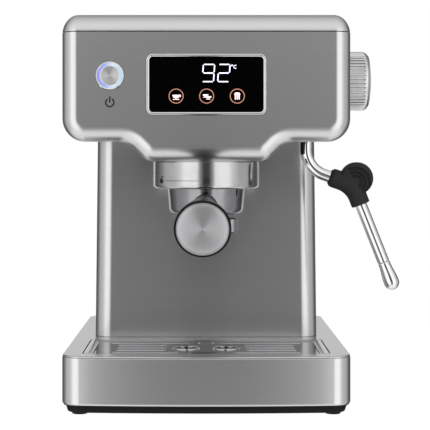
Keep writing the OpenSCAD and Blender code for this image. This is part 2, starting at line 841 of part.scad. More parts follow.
module portafilter_cup() {
    color("#cfd0d2") {
        at_group() difference() {
            union() {
                rotate_extrude() polygon(concat(
                    [[0, cup_z]],
                    [for (a = [0 : 15 : 90]) [cup_r_low - 5 + 5 * sin(a), cup_z + 5 - 5 * cos(a)]],
                    [[cup_r_top, collar_z], [cup_r_top, cup_top], [0, cup_top]]));
                for (a = lug_turns) rotate([0, 0, a - 11]) translate([0, 0, 186.4])
                    rotate_extrude(angle = 22) translate([cup_r_top - 1, 0]) square([lug_r - cup_r_top + 1, 4]);
                translate([0, 0, cup_z - 2]) cylinder(r = 8, h = 3);
            }
            rotate_extrude() polygon([[0, cup_z + 3], [cup_r_low - 5, cup_z + 3], [cup_r_low - cup_wall, cup_z + 7],
                                      [cup_r_top - cup_wall, collar_z], [cup_r_top - cup_wall, cup_top + 1],
                                      [0, cup_top + 1]]);
            translate([0, 0, cup_z - 3]) cylinder(r = 4, h = 8);
        }
        along_handle() difference() {
            translate([0, 0, -1.6]) cylinder(r = 8.6, h = 12.6);
            translate([0, 0, 2]) cylinder(r = 4.05, h = 20);
        }
    }
}

module filter_basket() {
    color("#d8d9db") at_group() rotate_extrude()
        polygon([[0, 164], [27, 164], [28.6, 166], [29.3, rim_z], [31.4, rim_z], [31.4, rim_z + 0.7],
                 [28.7, rim_z + 0.7], [28, 166.6], [26.8, 164.6], [0, 164.6]]);
}

module basket_clip() {
    color("#a8a9ab") at_group() translate([0, 0, 185]) rotate_extrude(angle = 320)
        translate([29.6, 0]) circle(0.33, $fn = 16);
}

// Two outlets side by side, fed from the cup's middle
module twin_spout() {
    color("#c9cacc") at_group() difference() {
        union() {
            translate([0, 0, 147.4]) cylinder(r = 9.5, h = cup_z - 2.1 - 147.4);
            block([-19.5, -5.4, 147.4], [39, 10.8, 6.6]);
            for (s = [-1, 1]) translate([s * 19.5, 0, 142]) cylinder(r = 6.3, h = 12);
        }
        translate([0, 0, 149.4]) cylinder(r = 4, h = 20);
        block([-19.5, -3.5, 149.4], [39, 7, 3]);
        for (s = [-1, 1]) translate([s * 19.5, 0, 140]) cylinder(r = 4.4, h = 12.4);
    }
}

module handle_grip() {
    color("#1a1a1b") along_handle() difference() {
        rotate_extrude() polygon([[0, 11.2], [10.4, 11.2], [11.6, 14], [10.8, 26], [12.4, 46], [16.2, 72],
                                  [19.8, 94], [handle_r, 103], [handle_r, 107], [19.7, 107], [19.7, 104.5],
                                  [0, 104.5]]);
        translate([0, 0, 10]) cylinder(r = 4.05, h = 60);
    }
}

module handle_cap() {
    color("#c5c6c8") along_handle() rotate_extrude()
        polygon([[0, 104.6], [19.6, 104.6], [19.6, 107.2], [18.4, 107.9], [10, 108.5], [0, 108.7]]);
}

module handle_bolt() {
    color("#a5a6a8") along_handle() translate([0, 0, 2.2]) cylinder(r = 4, h = 64);
}

// ---------- tray ----------

module drip_tray() {
    color("#a2a3a5") difference() {
        union() {
            translate([0, 0, deck_low]) linear_extrude(deck_t)
                slab(tray_w, tray_front, tray_back, 6, 6);
            translate([0, 0, 8]) linear_extrude(deck_low - 8 + eps)
                slab(tray_w - 3, tray_front + 1.5, tray_back - 1.5, 5, 5);
        }
        translate([0, 0, grille_z - grille_t - 0.2]) linear_extrude(10)
            slab(tray_w - 2 * tray_rim, tray_front + tray_rim, tray_back - tray_rim, 5, 5);
        translate([0, 0, 41.5]) linear_extrude(10)
            slab(tray_w - 2 * tray_rim - 5, tray_front + tray_rim + 2.5, tray_back - tray_rim - 2.5, 4, 4);
        translate([0, 0, 10]) linear_extrude(31.6)
            slab(tray_w - 7, tray_front + 3.5, tray_back - 3.5, 4, 4);
    }
}

// Slots of one row: pairs of x where a slot starts and ends, right half only
function row_slot(i) = i == 4 ? [6, 80] : i == 0 ? [24, 76] : [34, 73];

module drip_grille() {
    color("#8d8e90") translate([0, 0, grille_z - grille_t]) {
        difference() {
            linear_extrude(grille_t) difference() {
                slab(tray_w - 2 * tray_rim - 0.6, tray_front + tray_rim + 0.3, tray_back - tray_rim - 0.3, 5, 5);
                for (i = [0 : 4]) translate([0, first_row - row_pitch * (4 - i)]) {
                    slot2d(row_slot(i)[0], row_slot(i)[1], slot_w);
                    mirror([1, 0]) slot2d(row_slot(i)[0], row_slot(i)[1], slot_w);
                }
                translate([0, first_row - row_pitch * 4 - 4]) slot2d(-13, 14, slot_w);
            }
            for (s = [-1, 1]) translate([s * drain_x, drain_y, -1]) cylinder(r = drain_r - 2, h = 5);
        }
        for (s = [-1, 1]) translate([s * drain_x, drain_y, 0]) {
            tube(drain_r, drain_r - 2, 2.4);
            for (a = [0, 60, 120]) rotate([0, 0, a]) block([-9.5, -0.9, 0], [19, 1.8, 1]);
        }
    }
}

// ---------- tank ----------

module tank_hinge_arms(r) {
    for (s = [-1, 1]) translate([s * arm_x - 3, 0, 0]) {
        block([0, hinge_y - 2.4, tank_top - eps], [6, 4.8, hinge_z - tank_top]);
        translate([0, hinge_y, hinge_z]) rotate([0, 90, 0]) cylinder(r = r, h = 6, $fn = 48);
    }
}

module water_tank() {
    color("#b9c4cc", 0.5) difference() {
        union() {
            translate([0, 0, tank_z]) linear_extrude(tank_top - tank_z)
                slab(2 * tank_half, tank_front, tank_rear, 12, 12);
            translate([0, 0, tank_top - 2]) linear_extrude(2)
                slab(2 * tank_half + 4, tank_front - 2.4, tank_rear + 2, 12, 12);
            translate([0, dock_y, tank_z - 7]) cylinder(r = 8, h = 8);
            tank_hinge_arms(2.4);
        }
        translate([0, 0, tank_z + tank_wall]) linear_extrude(300)
            slab(2 * (tank_half - tank_wall), tank_front + tank_wall + 3, tank_rear - tank_wall, 10, 10);
        translate([0, dock_y, tank_z - 8]) cylinder(r = 6, h = 20);
        translate([-80, hinge_y, hinge_z]) rotate([0, 90, 0]) cylinder(r = pin_r + 0.02, h = 160, $fn = 48);
    }
}

// Spring-loaded plug in the tank's outlet
module tank_valve() {
    color("#d8d8d4") translate([0, dock_y, 0]) {
        translate([0, 0, tank_z - 6]) cylinder(r = 2, h = 14);
        translate([0, 0, tank_z + 2.1]) cylinder(r = 7.5, h = 3);
        translate([0, 0, tank_z - 3]) cylinder(r = 5.4, h = 2);
    }
}

module lid_pins() {
    color("#a8a9ab") for (s = [-1, 1]) translate([s * arm_x - 9, hinge_y, hinge_z]) rotate([0, 90, 0])
        cylinder(r = pin_r, h = 18, $fn = 48);
}

module tank_lid() {
    top = hinge_z + 3;
    color("#2a2a2c") difference() {
        union() {
            translate([0, 0, tank_top + 0.2]) linear_extrude(top - tank_top - 0.2)
                slab(2 * bay_half - 0.6, hinge_y, 139.5, 0.5, 2);
            block([-bay_half + 0.3, hinge_y - 2.7, tank_top + 0.2], [2 * bay_half - 0.6, 6, hinge_z - tank_top - 0.2]);
            translate([-bay_half + 0.3, hinge_y, hinge_z]) rotate([0, 90, 0])
                cylinder(r = 3, h = 2 * bay_half - 0.6, $fn = 48);
        }
        translate([0, 0, tank_top - 1]) linear_extrude(top - tank_top - 1)
            slab(2 * bay_half - 6, hinge_y + 5.5, 137, 0.5, 2);
        for (s = [-1, 1]) block([s * arm_x - 3.6, hinge_y - 5, tank_top - 1], [7.2, 11.5, 30]);
        translate([-80, hinge_y, hinge_z]) rotate([0, 90, 0]) cylinder(r = pin_r + 0.06, h = 160, $fn = 48);
        block([-28, 122, top - 3], [56, 12, 5]);
    }
}

rubber_feet();
base_pan();
base_shell();
deck_plate();
tray_well();
body_screws();
power_gland();
tank_dock();
chassis();
column_skin();
tank_bay();
head_front_cover();
head_housing();
lobe_skirt();
top_cover();
cup_warmer();
display_bezel();
display_glass();
display_board();
button_bezel();
button_light_ring();
button_switch();
group_collar();
group_head();
group_gasket();
shower_screen();
screen_screw();
thermoblock();
temperature_sensors();
pump();
pump_mounts();
flow_meter();
brew_valve();
steam_valve();
water_hoses();
control_board();
wand_socket();
power_button();
button_spring();
steam_knob();
knob_cap();
valve_spindle();
wand_tube();
wand_grip();
wand_lower_tube();
wand_nozzle();
portafilter_cup();
filter_basket();
basket_clip();
twin_spout();
handle_grip();
handle_cap();
handle_bolt();
drip_tray();
drip_grille();
water_tank();
tank_valve();
lid_pins();
tank_lid();
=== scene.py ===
"""Espresso machine: the finished look of each visible part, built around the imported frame.

Shapes are worked in millimetres, in the frame's own axes: X right, Y back, Z up.
"""

import json
import math

import bmesh
import bpy
from mathutils import Matrix, Vector

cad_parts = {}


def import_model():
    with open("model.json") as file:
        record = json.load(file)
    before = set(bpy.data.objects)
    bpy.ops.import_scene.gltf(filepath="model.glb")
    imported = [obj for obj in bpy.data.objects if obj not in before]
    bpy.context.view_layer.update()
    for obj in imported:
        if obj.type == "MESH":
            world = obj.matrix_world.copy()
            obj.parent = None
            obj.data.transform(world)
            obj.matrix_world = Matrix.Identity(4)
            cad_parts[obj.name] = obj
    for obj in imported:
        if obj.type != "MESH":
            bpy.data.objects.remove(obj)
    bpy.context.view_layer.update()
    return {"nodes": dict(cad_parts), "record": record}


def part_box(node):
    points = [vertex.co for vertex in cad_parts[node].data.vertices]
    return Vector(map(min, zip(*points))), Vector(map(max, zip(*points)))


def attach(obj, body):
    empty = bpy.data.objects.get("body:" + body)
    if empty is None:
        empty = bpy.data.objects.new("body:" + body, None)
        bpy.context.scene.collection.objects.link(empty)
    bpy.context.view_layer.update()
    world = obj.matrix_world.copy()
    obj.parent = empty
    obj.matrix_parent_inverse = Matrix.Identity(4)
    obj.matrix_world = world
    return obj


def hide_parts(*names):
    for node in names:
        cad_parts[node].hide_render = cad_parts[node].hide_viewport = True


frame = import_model()
nodes = frame["nodes"]
slot_of = {row["node"]: row["material_slot"] for row in frame["record"]["subparts"]}
MM = 0.001


def box_mm(node):
    """Lowest and highest corner of a CAD node, in millimetres."""
    low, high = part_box(node)
    return low / MM, high / MM


# ---------- shapes ----------

def arc(cx, cy, radius, start, end, steps):
    """Points along a round stretch, angles in degrees."""
    turns = [math.radians(start + (end - start) * k / steps) for k in range(steps + 1)]
    return [(cx + radius * math.cos(t), cy + radius * math.sin(t)) for t in turns]


def outline(corners, inset=0.0, steps=10, closed=True):
    """Points of an anticlockwise outline of straight runs and round corners, moved inward.

    corners holds (x, y, radius). A corner that bends the other way has its radius grow instead.
    """
    tiny = 0.02
    points = []
    last = len(corners) - 1
    for i, (x, y, radius) in enumerate(corners):
        here = Vector((x, y))
        before = Vector(corners[i - 1][:2])
        after = Vector(corners[(i + 1) % len(corners)][:2])
        if not closed and i == 0:
            before = here * 2 - after
        if not closed and i == last:
            after = here * 2 - before
        way_in = (here - before).normalized()
        way_out = (after - here).normalized()
        inward_in = Vector((-way_in.y, way_in.x))
        inward_out = Vector((-way_out.y, way_out.x))
        corner = here + (inward_in + inward_out) * (inset / (1 + inward_in.dot(inward_out)))
        if not radius:
            points.append((corner.x, corner.y))
            continue
        bend = 1 if way_in.x * way_out.y - way_in.y * way_out.x > 0 else -1
        r = max(radius - bend * inset, tiny)
        turn = math.acos(max(-1.0, min(1.0, way_in.dot(way_out))))
        start = corner - way_in * r * math.tan(turn / 2)
        centre = start + inward_in * r * bend
        for k in range(steps + 1):
            arm = start - centre
            arm.rotate(Matrix.Rotation(bend * turn * k / steps, 2))
            points.append((centre.x + arm.x, centre.y + arm.y))
    return points


def box_corners(x0, x1, y0, y1, r0, r1=None):
    """Corners of a rectangle, with one radius on the low-y side and one on the high-y side."""
    r1 = r0 if r1 is None else r1
    return [(x0, y0, r0), (x1, y0, r0), (x1, y1, r1), (x0, y1, r1)]


def stadium(x0, x1, y, radius, steps=8):
    """Outline of a slot along X with round ends."""
    return arc(x1 - radius, y, radius, -90, 90, steps) + arc(x0 + radius, y, radius, 90, 270, steps)


def at_z(points, z):
    return [(x, y, z) for x, y in points]


def at_y(points, y):
    return [(x, y, z) for x, z in points]


def at_x(points, x):
    return [(x, y, z) for y, z in points]


def skin(rings, around=False):
    """Closed skin over rings of points. A ring of one point is a tip; around joins last to first."""
    verts, spans, faces = [], [], []
    for ring in rings:
        spans.append((len(verts), len(ring)))
        verts.extend(ring)
    pairs = list(zip(spans, spans[1:]))
    if around:
        pairs.append((spans[-1], spans[0]))
    for (a, count_a), (b, count_b) in pairs:
        count = max(count_a, count_b)
        for i in range(count):
            j = (i + 1) % count
            face = (a + i % count_a, a + j % count_a, b + j % count_b, b + i % count_b)
            face = list(dict.fromkeys(face))
            if len(face) > 2:
                faces.append(face)
    if not around:
        faces += [list(range(a, a + count)) for a, count in (spans[0], spans[-1]) if count > 2]
    return verts, faces


def turned(profile, steps=96, around=False):
    """Skin of a profile of (radius, height) turned about Z."""
    rings = []
    for radius, height in profile:
        if radius < 1e-6:
            rings.append([(0.0, 0.0, height)])
        else:
            rings.append(at_z(arc(0, 0, radius, 0, 360 - 360 / steps, steps - 1), height))
    return skin(rings, around)


def shaped_ring(steps, z, radius_at):
    """Ring about Z whose radius depends on the angle in radians."""
    turns = [2 * math.pi * k / steps for k in range(steps)]
    return [(radius_at(a) * math.cos(a), radius_at(a) * math.sin(a), z) for a in turns]


def swept(path, radius, steps=32):
    """Round rod along a list of points that lie in one plane across Y."""
    points = [Vector(p) for p in path]
    rings = []
    for i, point in enumerate(points):
        ahead = points[min(i + 1, len(points) - 1)] - points[max(i - 1, 0)]
        side = Vector((0, 1, 0))
        up = ahead.normalized().cross(side)
        rings.append([tuple(point + (side * u + up * v) * radius)
                      for u, v in arc(0, 0, 1, 0, 360 - 360 / steps, steps - 1)])
    return skin(rings)


def block(low, high):
    """Plain block, for cutting."""
    corners = [(low[0], low[1]), (high[0], low[1]), (high[0], high[1]), (low[0], high[1])]
    return skin([at_z(corners, low[2]), at_z(corners, high[2])])


def placed(part, matrix):
    """A part's points moved by a matrix in millimetres."""
    verts, faces = part
    return [tuple(matrix @ Vector(v)) for v in verts], faces


def joined(*parts):
    """Several parts as one."""
    verts, faces = [], []
    for part_verts, part_faces in parts:
        faces += [[i + len(verts) for i in face] for face in part_faces]
        verts += part_verts
    return verts, faces


def move(x, y, z):
    return Matrix.Translation((x, y, z))


def turn(degrees, axis):
    return Matrix.Rotation(math.radians(degrees), 4, axis)


# ---------- pieces ----------

def new_object(name, part):
    """Mesh object from a part in millimetres, its seams welded and its faces turned outward."""
    verts, faces = part
    mesh = bpy.data.meshes.new(name)
    mesh.from_pydata([Vector(v) * MM for v in verts], [], faces)
    shape = bmesh.new()
    shape.from_mesh(mesh)
    bmesh.ops.remove_doubles(shape, verts=shape.verts, dist=1e-7)
    bmesh.ops.recalc_face_normals(shape, faces=shape.faces)
    shape.to_mesh(mesh)
    shape.free()
    obj = bpy.data.objects.new(name, mesh)
    bpy.context.scene.collection.objects.link(obj)
    return obj


def settle(obj):
    """Makes an object's modifiers part of its mesh."""
    graph = bpy.context.evaluated_depsgraph_get()
    mesh = bpy.data.meshes.new_from_object(obj.evaluated_get(graph))
    obj.modifiers.clear()
    obj.data = mesh


def modifier(obj, kind, **settings):
    new = obj.modifiers.new(kind.lower(), kind)
    for name, value in settings.items():
        setattr(new, name, value)
    return new


def piece(name, part, material, body, slot, replaces=(), cuts=(), round_edges=0.0, sharp=38):
    """Builds one piece: cuts it, rounds its edges, shades it and hands it to the frame."""
    obj = new_object(name, part)
    for cut in cuts:
        cutter = new_object(name + "_cutter", cut)
        modifier(obj, "BOOLEAN", object=cutter, operation="DIFFERENCE", solver="EXACT")
        settle(obj)
        bpy.data.objects.remove(cutter)
    if round_edges:
        modifier(obj, "BEVEL", width=round_edges * MM, segments=2, limit_method="ANGLE",
                 angle_limit=math.radians(sharp))
        settle(obj)
    dress(obj, material, body, slot, sharp)
    if replaces:
        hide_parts(*replaces)
    return obj


def finished(node, part, body="machine", **making):
    """The finished look of one CAD node, in that node's place, with the finish of its material slot."""
    slot = slot_of[node]
    return piece(node + "_finished", part, FINISHES[slot], body, slot, [node], **making)


def dress(obj, material, body, slot, sharp=38):
    """Smooth shading that keeps flat faces flat, the material, and the piece's place in the frame."""
    obj.data.shade_smooth()
    obj.data.set_sharp_from_angle(angle=math.radians(sharp))
    modifier(obj, "WEIGHTED_NORMAL", keep_sharp=True, weight=70)
    obj.data.materials.clear()
    obj.data.materials.append(material)
    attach(obj, body)
    return obj


# ---------- materials ----------

def colour(code):
    """Linear RGBA of an sRGB hex colour."""
    parts = [int(code[i:i + 2], 16) / 255 for i in (1, 3, 5)]
    return [p / 12.92 if p <= 0.04045 else ((p + 0.055) / 1.055) ** 2.4 for p in parts] + [1.0]


def add(tree, kind, sockets=None, **settings):
    """Adds a node with its settings; sockets maps a socket to a value or to another node's output."""
    node = tree.nodes.new(kind)
    for name, value in settings.items():
        setattr(node, name, value)
    for key, value in (sockets or {}).items():
        if isinstance(value, bpy.types.NodeSocket):
            tree.links.new(value, node.inputs[key])
        else:
            node.inputs[key].default_value = value
    return node


def finish(name, code, metallic=0.0, roughness=0.5, **shader):
    """New material with its shader; returns the material, its tree and the shader node."""
    material = bpy.data.materials.new(name)
    material.use_nodes = True
    tree = material.node_tree
    tree.nodes.clear()
    sockets = {"Base Color": colour(code), "Metallic": metallic, "Roughness": roughness}
    sockets.update({key.replace("_", " "): value for key, value in shader.items()})
    node = add(tree, "ShaderNodeBsdfPrincipled", sockets)
    add(tree, "ShaderNodeOutputMaterial", {"Surface": node.outputs["BSDF"]})
    return material, tree, node


def grain(tree, size_mm, detail=2.0):
    """Noise whose patches have the given sizes in millimetres along X, Y and Z."""
    where = add(tree, "ShaderNodeTexCoord")
    scaled = add(tree, "ShaderNodeMapping", {"Vector": where.outputs["Object"],
                                             "Scale": [1 / (s * MM) for s in size_mm]})
    return add(tree, "ShaderNodeTexNoise", {"Vector": scaled.outputs[0], "Scale": 1.0, "Detail": detail})


def vary(tree, shader, socket, source, low, high):
    """Drives a socket between two values, numbers or colours, by a noise."""
    if isinstance(low, str):
        ramp = add(tree, "ShaderNodeValToRGB", {"Fac": source.outputs[0]})
        ramp.color_ramp.elements[0].position = 0.3
        ramp.color_ramp.elements[1].position = 0.7
        ramp.color_ramp.elements[0].color = colour(low)
        ramp.color_ramp.elements[1].color = colour(high)
        tree.links.new(ramp.outputs[0], shader.inputs[socket])
    else:
        spread = add(tree, "ShaderNodeMapRange", {"Value": source.outputs[0], "From Min": 0.3,
                                                  "From Max": 0.7, "To Min": low, "To Max": high})
        tree.links.new(spread.outputs[0], shader.inputs[socket])


def bump(tree, shader, source, depth_mm):
    """Relief of the given depth from a noise."""
    relief = add(tree, "ShaderNodeBump", {"Height": source.outputs[0], "Distance": depth_mm * MM,
                                          "Strength": 1.0})
    tree.links.new(relief.outputs[0], shader.inputs["Normal"])


def brushed_steel(name, low, high, roughness=0.28, smear=0.7):
    """Stainless sheet drawn past an abrasive belt along its length: fine level lines, and highlights
    that stay crisp along the lines but smear up and down across them.

    The real lines are about 0.1 mm apart, too fine to show, so they are drawn 0.5 mm apart.
    """
    material, tree, shader = finish(name, low, 1.0, roughness, Anisotropic=smear, Anisotropic_Rotation=0.25)
    lines = grain(tree, (70.0, 70.0, 0.5) if smear > 0.5 else (70.0, 0.5, 70.0), 3.0)
    vary(tree, shader, "Base Color", lines, low, high)
    bump(tree, shader, lines, 0.002)
    face = add(tree, "ShaderNodeNewGeometry")
    level = add(tree, "ShaderNodeVectorMath", {0: (0, 0, 1), 1: face.outputs["True Normal"]},
                operation="CROSS_PRODUCT")
    along = add(tree, "ShaderNodeVectorMath", {0: level.outputs[0], 1: (0.15, 0, 0)}, operation="ADD")
    tree.links.new(along.outputs[0], shader.inputs["Tangent"])
    return material


def polished_metal(name, low, high, roughness=0.06, smear_mm=9.0):
    """Buffed and plated metal: mirror-like, with slow waves left by the buffing wheel."""
    material, tree, shader = finish(name, low, 1.0, roughness)
    waves = grain(tree, (smear_mm,) * 3, 1.0)
    vary(tree, shader, "Base Color", waves, low, high)
    bump(tree, shader, waves, 0.004)
    return material


def moulded_plastic(name, code, roughness, texture_mm=0.6, depth_mm=0.012, **shader_sockets):
    """Injection-moulded plastic or rubber with the fine spark texture of its tool."""
    material, tree, shader = finish(name, code, 0.0, roughness, **shader_sockets)
    texture = grain(tree, (texture_mm,) * 3, 3.0)
    vary(tree, shader, "Roughness", texture, roughness - 0.06, roughness + 0.08)
    bump(tree, shader, texture, depth_mm)
    return material


def cast_metal(name, low, high, roughness, grain_mm=1.4, depth_mm=0.03):
    """Cast or plated part: dull, with a slightly uneven skin."""
    material, tree, shader = finish(name, low, 1.0, roughness)
    skin_noise = grain(tree, (grain_mm,) * 3, 4.0)
    vary(tree, shader, "Base Color", skin_noise, low, high)
    bump(tree, shader, skin_noise, depth_mm)
    return material


def glowing(name, code, strength):
    """Light seen through a diffuser: even; its noise ramp runs between two equal colours."""
    material, tree, shader = finish(name, code, 0.0, 0.4, Emission_Strength=strength)
    cell = grain(tree, (1.5,) * 3, 1.0)
    vary(tree, shader, "Emission Color", cell, code, code)
    return material


def spun_face(name, low, high, roughness):
    """Face turned on a lathe: rings of tool marks, so highlights fan out from the middle."""
    material, tree, shader = finish(name, low, 1.0, roughness, Anisotropic=0.9, Anisotropic_Rotation=0.25)
    tangent = add(tree, "ShaderNodeTangent", direction_type="RADIAL", axis="Y")
    tree.links.new(tangent.outputs[0], shader.inputs["Tangent"])
    marks = grain(tree, (0.7, 0.7, 0.7), 2.0)
    vary(tree, shader, "Base Color", marks, low, high)
    return material


def ring_glow():
    """Light guide round the button: blue-violet at its left, white to ice blue at its right."""
    material, tree, shader = finish("light_guide_ring", "#10141c", 0.0, 0.35, Emission_Strength=0.9)
    where = add(tree, "ShaderNodeTexCoord")
    split = add(tree, "ShaderNodeSeparateXYZ", {"Vector": where.outputs["Generated"]})
    ramp = add(tree, "ShaderNodeValToRGB", {"Fac": split.outputs["X"]})
    stops = ramp.color_ramp.elements
    stops[0].color = colour("#98a4f8")
    stops[1].color = colour("#bfe4ff")
    for place, code in ((0.3, "#a9b8ff"), (0.6, "#e6f2ff")):
        stops.new(place).color = colour(code)
    tree.links.new(ramp.outputs[0], shader.inputs["Emission Color"])
    return material


# Each finish, by the material slot that uses it
FINISHES = {
    "brushed_steel_head": brushed_steel("brushed_304_sheet_head", "#d8d8d9", "#dededf"),
    "brushed_steel_band": brushed_steel("brushed_304_sheet_base", "#d8d8d9", "#dededf"),
    # The column's steel is a slightly darker copy of the head's steel: painted shade for the shadow under
    # the head.
    "brushed_steel_column": brushed_steel("brushed_304_sheet_column_painted_shade", "#d2d2d3", "#d8d8d9"),
    "brushed_steel_top": brushed_steel("brushed_304_pressing_top", "#d8d8d9", "#dededf"),
    "deck_steel": brushed_steel("satin_304_deck", "#d8d8d9", "#dfdfe0", 0.28, 0.3),
    "tray_steel": brushed_steel("satin_304_tray_pressing", "#b4b4b6", "#bebec0", 0.20, 0.3),
    "grille_steel": brushed_steel("brushed_304_grille", "#8e8e90", "#9a9a9c", 0.18, 0.3),
    "polished_collar": polished_metal("chromed_brass_collar", "#c6c6c6", "#cdcdcd", 0.15),
    # The cup's chrome is a much darker copy of the collar's chrome: painted shade in place of the cup's
    # darker reflections.
    "chrome_cup": polished_metal("chromed_brass_cup_painted_dark", "#929295", "#9d9da0", 0.10),
    "polished_tube": polished_metal("polished_316_tube", "#e8e8e8", "#efefef", 0.05),
    "chrome_trim": polished_metal("chromed_abs_trim", "#e0e0e1", "#e8e8e9", 0.16),
    "knob_chrome": polished_metal("satin_chromed_knob", "#dcdcdd", "#e6e6e7", 0.13),
    "handle_disc": spun_face("spun_zinc_disc", "#c2c2c4", "#cacacc", 0.34),
    "spun_button": spun_face("spun_aluminium_button", "#e8e8e9", "#f2f2f3", 0.3),
    "light_guide": ring_glow(),
    "black_abs": moulded_plastic("black_abs_moulding", "#0b0b0c", 0.5, Specular_IOR_Level=0.2),
    "foot_rubber": moulded_plastic("black_foot_rubber", "#0c0c0c", 0.75, 0.9, 0.03, Specular_IOR_Level=0.2),
    "grip_rubber": moulded_plastic("black_silicone_grip", "#1d1d1f", 0.6, 0.5, 0.02, Specular_IOR_Level=0.4),
    "black_handle": moulded_plastic("black_phenolic_handle", "#0b0b0c", 0.34, 0.8, 0.004,
                                    Specular_IOR_Level=0.25),
    "display_glass": moulded_plastic("smoked_display_glass", "#020202", 0.12, 6.0, 0.001,
                                     Specular_IOR_Level=0.12),
    "tank_plastic": moulded_plastic("smoked_tritan_tank", "#8d979d", 0.14, 8.0, 0.004,
                                    Transmission_Weight=0.85, IOR=1.53),
    "nylon_white": moulded_plastic("natural_nylon", "#d3d2cc", 0.5),
    "ceramic_white": moulded_plastic("glazed_ceramic", "#d8d0bd", 0.3),
    "silicone_clear": moulded_plastic("clear_silicone_hose", "#cdd2d6", 0.35, 1.2, 0.01,
                                      Subsurface_Weight=0.3),
    "silicone": moulded_plastic("brown_silicone_gasket", "#8a4630", 0.6),
    "circuit_board": moulded_plastic("solder_masked_board", "#1f5a3c", 0.35),
    "brass": cast_metal("turned_brass", "#b58b4a", "#c39a58", 0.28),
    "cast_aluminium": cast_metal("die_cast_aluminium", "#a8aaac", "#b8babb", 0.5),
    "galvanised_frame": cast_metal("galvanised_frame_steel", "#9a9da0", "#b4b7b9", 0.42, 6.0),
    "zinc_screw": cast_metal("zinc_plated_screw", "#a5a5a4", "#b5b5b3", 0.32),
    "spring_steel": cast_metal("spring_wire", "#a9a9aa", "#b9b9ba", 0.3),
}
FINISHES["knob_face"] = FINISHES["knob_chrome"]
# Finishes of marks and lit symbols, kept outside the table of slot finishes
black_ink = moulded_plastic("screen_printed_ink", "#1a1a1b", 0.5)
digit_white = glowing("display_digit_glow", "#efeaff", 0.95)
icon_rose = glowing("display_icon_glow", "#f3dcdc", 0.9)
icon_copper = glowing("display_ring_glow", "#a87260", 0.85)


# ---------- CAD nodes that keep their shape ----------

for node_name, node in nodes.items():
    node.data.materials.clear()
    node.data.materials.append(FINISHES[slot_of[node_name]])


# ---------- head ----------

cover_low, cover_high = box_mm("head_front_cover")
HALF = cover_high.x
FRONT = cover_low.y
COVER_BACK = cover_high.y
SEAM = cover_high.z
LOBE = cover_low.z
housing_low, housing_high = box_mm("head_housing")
HEAD_BACK = housing_high.y
HOUSING_Z = housing_low.z
WING = HOUSING_Z - 3
EDGE = 13.0
GAP = 0.3
BEYOND = 40.0
collar_low, collar_high = box_mm("group_collar")
GROUP_Y = (collar_low.y + collar_high.y) / 2
bezel_low, bezel_high = box_mm("display_bezel")
button_low, button_high = box_mm("button_bezel")
BUTTON = ((button_low.x + button_high.x) / 2, (button_low.z + button_high.z) / 2)
AT_BUTTON = move(BUTTON[0], FRONT, BUTTON[1]) @ turn(-90, "X")
AT_KNOB = move(HALF, -45, 269.8) @ turn(90, "Y")
WAND_X, WAND_Y = 83.7, -75.0


def front_corners():
    """Corners of the head seen from the front: round low corners and the lobe over the group."""
    top = SEAM + BEYOND
    step = WING - LOBE
    lobe_x = 47.6
    left = [(-HALF, top, 0), (-HALF, WING, 18.5), (-lobe_x - step, WING, 16), (-lobe_x, LOBE, 16)]
    return left + [(-x, z, r) for x, z, r in reversed(left)]


def pillow(corners, back, front, wall, edge):
    """Open cup whose front is flat with a round edge: its rings from the outer face to the inner."""
    steps = 14
    sign = 1 if back > front else -1
    rings = []
    for shell, order in ((0.0, reversed(range(steps + 1))), (wall, range(steps + 1))):
        curve = []
        for k in order:
            a = math.radians(90 * k / steps)
            inset = shell + (edge - shell) * (1 - math.cos(a))
            y = front + sign * (edge - (edge - shell) * math.sin(a))
            curve.append(at_y(outline(corners, inset), y))
        rim = at_y(outline(corners, shell), back)
        rings += curve + [rim] if shell == 0.0 else [rim] + curve
    return skin(rings)


def bore(x, z, radius, y0, y1):
    """Round cutter along Y."""
    return skin([at_y(arc(x, z, radius, 0, 354, 59), y) for y in (y0, y1)])


def upright_bore(x, y, radius, z0, z1):
    """Round cutter along Z."""
    return skin([at_z(arc(x, y, radius, 0, 354, 59), z) for z in (z0, z1)])


def layers(corners, profile, around=False):
    """Skin of an outline stacked up Z, from a profile of (inset, z)."""
    return skin([at_z(outline(corners, inset), z) for inset, z in profile], around)


def head_front_cover():
    """Pressed front: flat face, round edges, with openings for display, button and group."""
    above = block((-HALF - 1, FRONT - 1, SEAM - GAP), (HALF + 1, COVER_BACK + 1, SEAM + BEYOND + 1))
    window = skin([at_y(outline(box_corners(bezel_low.x - GAP, bezel_high.x + GAP, bezel_low.z - GAP,
                                            bezel_high.z + GAP, 5.5)), y) for y in (FRONT - 1, FRONT + 4)])
    cuts = [above, window, bore(*BUTTON, 11.25 + GAP, FRONT - 1, FRONT + 4),
            upright_bore(0, GROUP_Y, 40.8, LOBE - 5, LOBE + 4)]
    finished("head_front_cover", pillow(front_corners(), COVER_BACK, FRONT, 1.5, EDGE), cuts=cuts,
             round_edges=0.3)


